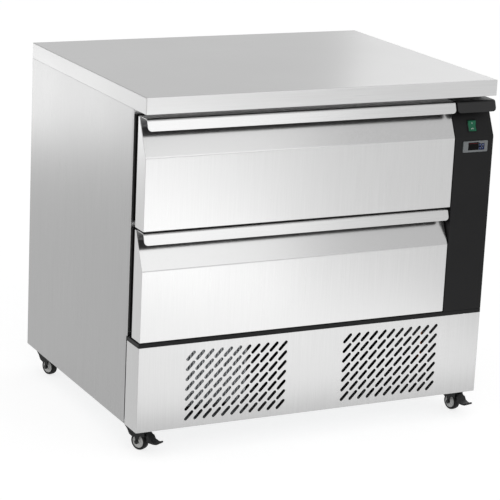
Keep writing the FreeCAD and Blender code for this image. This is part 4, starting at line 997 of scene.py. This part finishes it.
# %% [markdown]
# ## Toes of the pedals
# The tongue of each brake pedal ends in a round bead, so that a shoe can both press it down and lift
# it. It is a short rod across the tongue's end, turned with its caster.

# %% Pedal toes
# where the swivel axes of the braked casters stand
BRAKED = {"front_left": (-424, -268), "front_right": (424, -268)}
TOE_REACH, TOE_HEIGHT, TOE_RADIUS, TOE_WIDTH, TOE_ROUNDING = 77.4, 30.0, 2.5, 21.0, 0.8


def make_toe(place, x, y):
    turn = Matrix.Rotation(math.radians(SWIVEL[place]), 4, "Z")
    middle = at(x, y, TOE_HEIGHT) + turn @ at(TOE_REACH, 0, 0)
    lying = Matrix.Translation(middle) @ turn @ Matrix.Rotation(math.pi / 2, 4, "X")
    bm = bmesh.new()
    rod(bm, lying, TOE_WIDTH, TOE_RADIUS, TOE_RADIUS, 24)
    soften(bm, TOE_ROUNDING, 3, limit=60)
    pedal = f"caster_{place}_pedal"
    finish(bm, f"{pedal}_toe", body_of[pedal], slot_of[pedal])


for place, (x, y) in BRAKED.items():
    make_toe(place, x, y)

# %% [markdown]
# ## Foam sleeves on the liquid line
# Behind the right field of slots runs the pipe that takes the liquid refrigerant through the drier
# to the evaporator. Split tubes of black foam rubber are slipped over such pipes, so that they
# neither rattle nor sweat. Their black is also painted shade: it keeps the copper from shining
# behind those slots, where the bay is only dark. Each sleeve is a short section spun about its
# straight run of pipe, and the drier has a wider one.

# %% Foam sleeves
LIQUID_Z = 115.0
# inner and outer radius
PIPE_SLEEVE, DRIER_SLEEVE = (4.1, 7.2), (11.1, 13.6)
SLEEVE_CHAMFER, SLEEVE_STEPS = 0.6, 24
# both ends, across and in depth, and the radii
SLEEVES = [
    ((-140, -262), (16, -262), PIPE_SLEEVE),
    ((44, -254.5), (107, -221), PIPE_SLEEVE),
    ((133, -214), (195, -214), PIPE_SLEEVE),
    ((197, -214), (283, -214), DRIER_SLEEVE),
    ((285, -214), (360, -214), PIPE_SLEEVE),
]


def make_sleeve(name, start, end, radii):
    first, last = Vector((*start, LIQUID_Z)), Vector((*end, LIQUID_Z))
    half = (last - first).length / 2
    inner, outer = radii
    rim, shoulder = outer - SLEEVE_CHAMFER, half - SLEEVE_CHAMFER
    section = [(inner, -half), (rim, -half), (outer, -shoulder)]
    section += [(outer, shoulder), (rim, half), (inner, half)]
    axis = (last - first).normalized()
    bm = spin_section(section, (first + last) / 2 * MM, axis, SLEEVE_STEPS)
    # black rubber over the pipe is painted shade behind the right field of slots
    finish(bm, name, "cabinet", "gasket_rubber")


for number, (start, end, radii) in enumerate(SLEEVES, 1):
    make_sleeve(f"liquid_line_shade_sleeve_{number}", start, end, radii)

# %% [markdown]
# ## Screws in the back
# The rear sheet is held by screws along its edges. It is let in by six millimetres, so that their
# heads don't touch the wall. The heads are short tapered rods with rounded rims, and since they are
# all the same they make one piece.

# %% Back screws
BACK_FACE = 344.0
HEAD_RADIUS, HEAD_TOP_RADIUS, HEAD_HEIGHT, HEAD_ROUNDING = 5.0, 4.4, 3.0, 1.4
SCREW_X, SCREW_Z = 441, (90, 264, 438, 612, 786)
SCREWS = [(side * SCREW_X, z) for side in (-1, 1) for z in SCREW_Z]
SCREWS += [(side * SCREW_X / 2, z) for side in (-1, 0, 1) for z in (SCREW_Z[0], SCREW_Z[-1])]


def make_screws():
    bm = bmesh.new()
    backwards = Matrix.Rotation(-math.pi / 2, 4, "X")
    for x, z in SCREWS:
        lying = Matrix.Translation(at(x, BACK_FACE + HEAD_HEIGHT / 2, z)) @ backwards
        rod(bm, lying, HEAD_HEIGHT, HEAD_RADIUS, HEAD_TOP_RADIUS, 20)
    soften(bm, HEAD_ROUNDING, 3, limit=40)
    finish(bm, "back_screws", "cabinet", "motor_metal")


make_screws()

# %% [markdown]
# ## Pieces that only need their edges rounded
# For the rest the imported shape is right, and only its edges are too sharp. The list gives the
# rounding of each piece: less than a millimetre on a cut sheet, about one on a moulding or a rod.
# The front frame is the last of them. Its outer sides lie in line with the side panels and are
# brushed like them, so it takes two finishes, with the sides' darker tone of painted shade.

# %% Rounded copies
# width in millimetres and number of steps
ROUNDING = {
    "left_side_panel": (0.8, 2),
    "right_side_panel": (0.8, 2),
    "back_panel": (0.4, 1),
    "cord_gland": (0.8, 2),
    "base_plate": (0.8, 2),
    "lower_trim_strip": (1.0, 3),
    "evaporation_tray": (0.8, 2),
    "evaporator_cover": (0.5, 1),
    "caster_plates": (0.4, 1),
}
for drawer in DRAWERS:
    ROUNDING[f"{drawer}_inner_panel"] = (1.5, 3)
    ROUNDING[f"{drawer}_box"] = (0.5, 2)
    ROUNDING[f"{drawer}_inner_rails"] = (0.3, 1)
    ROUNDING[f"{drawer}_middle_rails"] = (0.3, 1)
ROUNDING["fixed_rails"] = (0.3, 1)
for place in SWIVEL:
    ROUNDING[f"caster_{place}_fork"] = (0.7, 2)
for place in BRAKED:
    ROUNDING[f"caster_{place}_pedal"] = (1.2, 3)
ROUNDING["front_frame"] = (0.8, 2)


def make_rounded(node, width, segments, sides=None):
    """A rounded copy of a node, with a second finish on its sides if one is given."""
    bm = copy_of(node)
    soften(bm, width, segments)
    second = {"second": sides, "chosen": lambda normal: abs(normal.x) > 0.5}
    finish(bm, f"{node}_rounded", body_of[node], slot_of[node], node, **second)


for node, (width, segments) in ROUNDING.items():
    make_rounded(node, width, segments, "side_steel" if node == "front_frame" else None)

# %% [markdown]
# ## Studio
# Polished steel has hardly a colour of its own: it shows what stands round it. Product pictures are
# therefore taken in a white tent on a pale floor. Such a room has to light the counter at a plain
# level, so that each finish looks as it was chosen, and to be white where the camera or the metal
# sees it. Light Path tells the two apart: for camera, gloss and glass the room is white, for all
# other light it is dimmer. The floor does the same, and it keeps the counter's shadow.


# %% Floor and world
FLOOR_HALF = 30.0
ROOM_LIGHT = 0.55
FLOOR_GLOW = 0.74
FLOOR_TONE, SEEN_FLOOR_TONE = "#e8e8e8", "#b8b8b8"
WHITE = (1, 1, 1, 1)


def seen(tree):
    """1 for what the camera, gloss and glass show, otherwise 0."""
    path = add(tree, "ShaderNodeLightPath")
    links = {0: path.outputs["Is Glossy Ray"], 1: path.outputs["Is Transmission Ray"]}
    mirrored = add(tree, "ShaderNodeMath", links, operation="MAXIMUM")
    links = {0: path.outputs["Is Camera Ray"], 1: mirrored.outputs[0]}
    return add(tree, "ShaderNodeMath", links, operation="MAXIMUM").outputs[0]


def make_floor():
    bm = bmesh.new()
    bmesh.ops.create_grid(bm, x_segments=1, y_segments=1, size=FLOOR_HALF)
    mesh = bpy.data.meshes.new("studio_floor")
    bm.to_mesh(mesh)
    bm.free()
    floor = new_object("studio_floor", mesh)
    material, tree = blank_material("white_sweep")
    plain = add(tree, "ShaderNodeBsdfDiffuse", Color=linear(FLOOR_TONE))
    dull = add(tree, "ShaderNodeBsdfDiffuse", Color=linear(SEEN_FLOOR_TONE))
    glow = add(tree, "ShaderNodeEmission", Color=WHITE, Strength=FLOOR_GLOW)
    shown = add(tree, "ShaderNodeAddShader", {0: dull.outputs[0], 1: glow.outputs[0]})
    links = {0: seen(tree), 1: plain.outputs[0], 2: shown.outputs[0]}
    close_material(tree, add(tree, "ShaderNodeMixShader", links))
    mesh.materials.append(material)


def make_world():
    world = bpy.data.worlds.new("studio")
    bpy.context.scene.world = world
    world.use_nodes = True
    tree = world.node_tree
    tree.nodes.clear()
    room = add(tree, "ShaderNodeBackground", Color=WHITE, Strength=ROOM_LIGHT)
    bright = add(tree, "ShaderNodeBackground", Color=WHITE, Strength=1.0)
    links = {0: seen(tree), 1: room.outputs[0], 2: bright.outputs[0]}
    mixed = add(tree, "ShaderNodeMixShader", links)
    add(tree, "ShaderNodeOutputWorld", {"Surface": mixed.outputs[0]})


make_floor()
make_world()
print("floor and world made")

# %% [markdown]
# ## Lamps
# Six softboxes shape the metal. Two lie on the floor in front: the long one brightens the left half
# of the fronts and the near one the lower panel. A high one in front lights the lips and the slopes.
# One lies behind on the left for the upper part of the side, one hangs behind on the right for the
# worktop, and a large one at the front left and above models the whole. They are area lamps: a big
# soft rectangle leaves no hot spot on the metal. The camera doesn't see them.

# %% Softboxes
# place, the point it faces, width and height, spin about its own axis, and power in watts
SOFTBOXES = {
    "front_low": ((0.4, -2.5, 0.02), (0.4, -2.5, 1.0), (1.0, 2.2), -22, 8.5),
    "panel_low": ((0.2, -0.95, 0.02), (0.2, -0.95, 1.0), (1.2, 0.8), 0, 1.8),
    "front_high": ((0.45, -3.0, 1.8), (-0.05, -0.35, 0.7), (2.0, 1.5), 0, 9),
    "side_low": ((-1.95, 4.2, 0.02), (-1.95, 4.2, 1.0), (1.6, 3.0), 0, 24),
    "worktop_back": ((1.95, 1.9, 1.6), (0.3, -0.2, 0.84), (1.1, 0.55), 0, 1.8),
    "key_front_left": ((-1.6, -3.4, 2.4), (0.0, 0.0, 0.45), (2.2, 2.2), 0, 10),
}


def make_softbox(name, place, target, size, spin, watts):
    lamp = bpy.data.lights.new(name, "AREA")
    lamp.shape = "RECTANGLE"
    lamp.size, lamp.size_y = size
    lamp.energy = watts
    softbox = new_object(name, lamp)
    aim = (Vector(target) - Vector(place)).to_track_quat("-Z", "Y").to_matrix().to_4x4()
    turn = Matrix.Rotation(math.radians(spin), 4, "Z")
    softbox.matrix_world = Matrix.Translation(place) @ aim @ turn
    softbox.visible_camera = False


for name, settings in SOFTBOXES.items():
    make_softbox(name, *settings)
print("softboxes", len(SOFTBOXES))

# %% [markdown]
# ## Camera
# The picture was taken from the front left and a little above, with a long lens, and the camera
# leans slightly to one side. Its place and angles were worked out from the cabinet's corners in the
# picture and the known size of 905 x 700 x 840 mm.

# %% Camera
CAMERA_PLACE = (-2.304, -4.490, 1.757)
CAMERA_YAW, CAMERA_PITCH, CAMERA_ROLL = 27.10, 15.40, 2.69
FOCAL_PIXELS, PICTURE_PIXELS = 2122, 500


def make_camera():
    turns = (("Z", -CAMERA_YAW), ("X", 90 - CAMERA_PITCH), ("Z", CAMERA_ROLL))
    yaw, pitch, roll = (Matrix.Rotation(math.radians(turn), 4, axis) for axis, turn in turns)
    lens = bpy.data.cameras.new("camera")
    lens.sensor_width = 36
    lens.lens = lens.sensor_width * FOCAL_PIXELS / PICTURE_PIXELS
    camera = new_object("camera", lens)
    camera.matrix_world = Matrix.Translation(CAMERA_PLACE) @ yaw @ pitch @ roll
    bpy.context.scene.camera = camera


make_camera()
bpy.context.scene.view_settings.view_transform = "Standard"
print("lens", round(bpy.context.scene.camera.data.lens, 1), "mm")
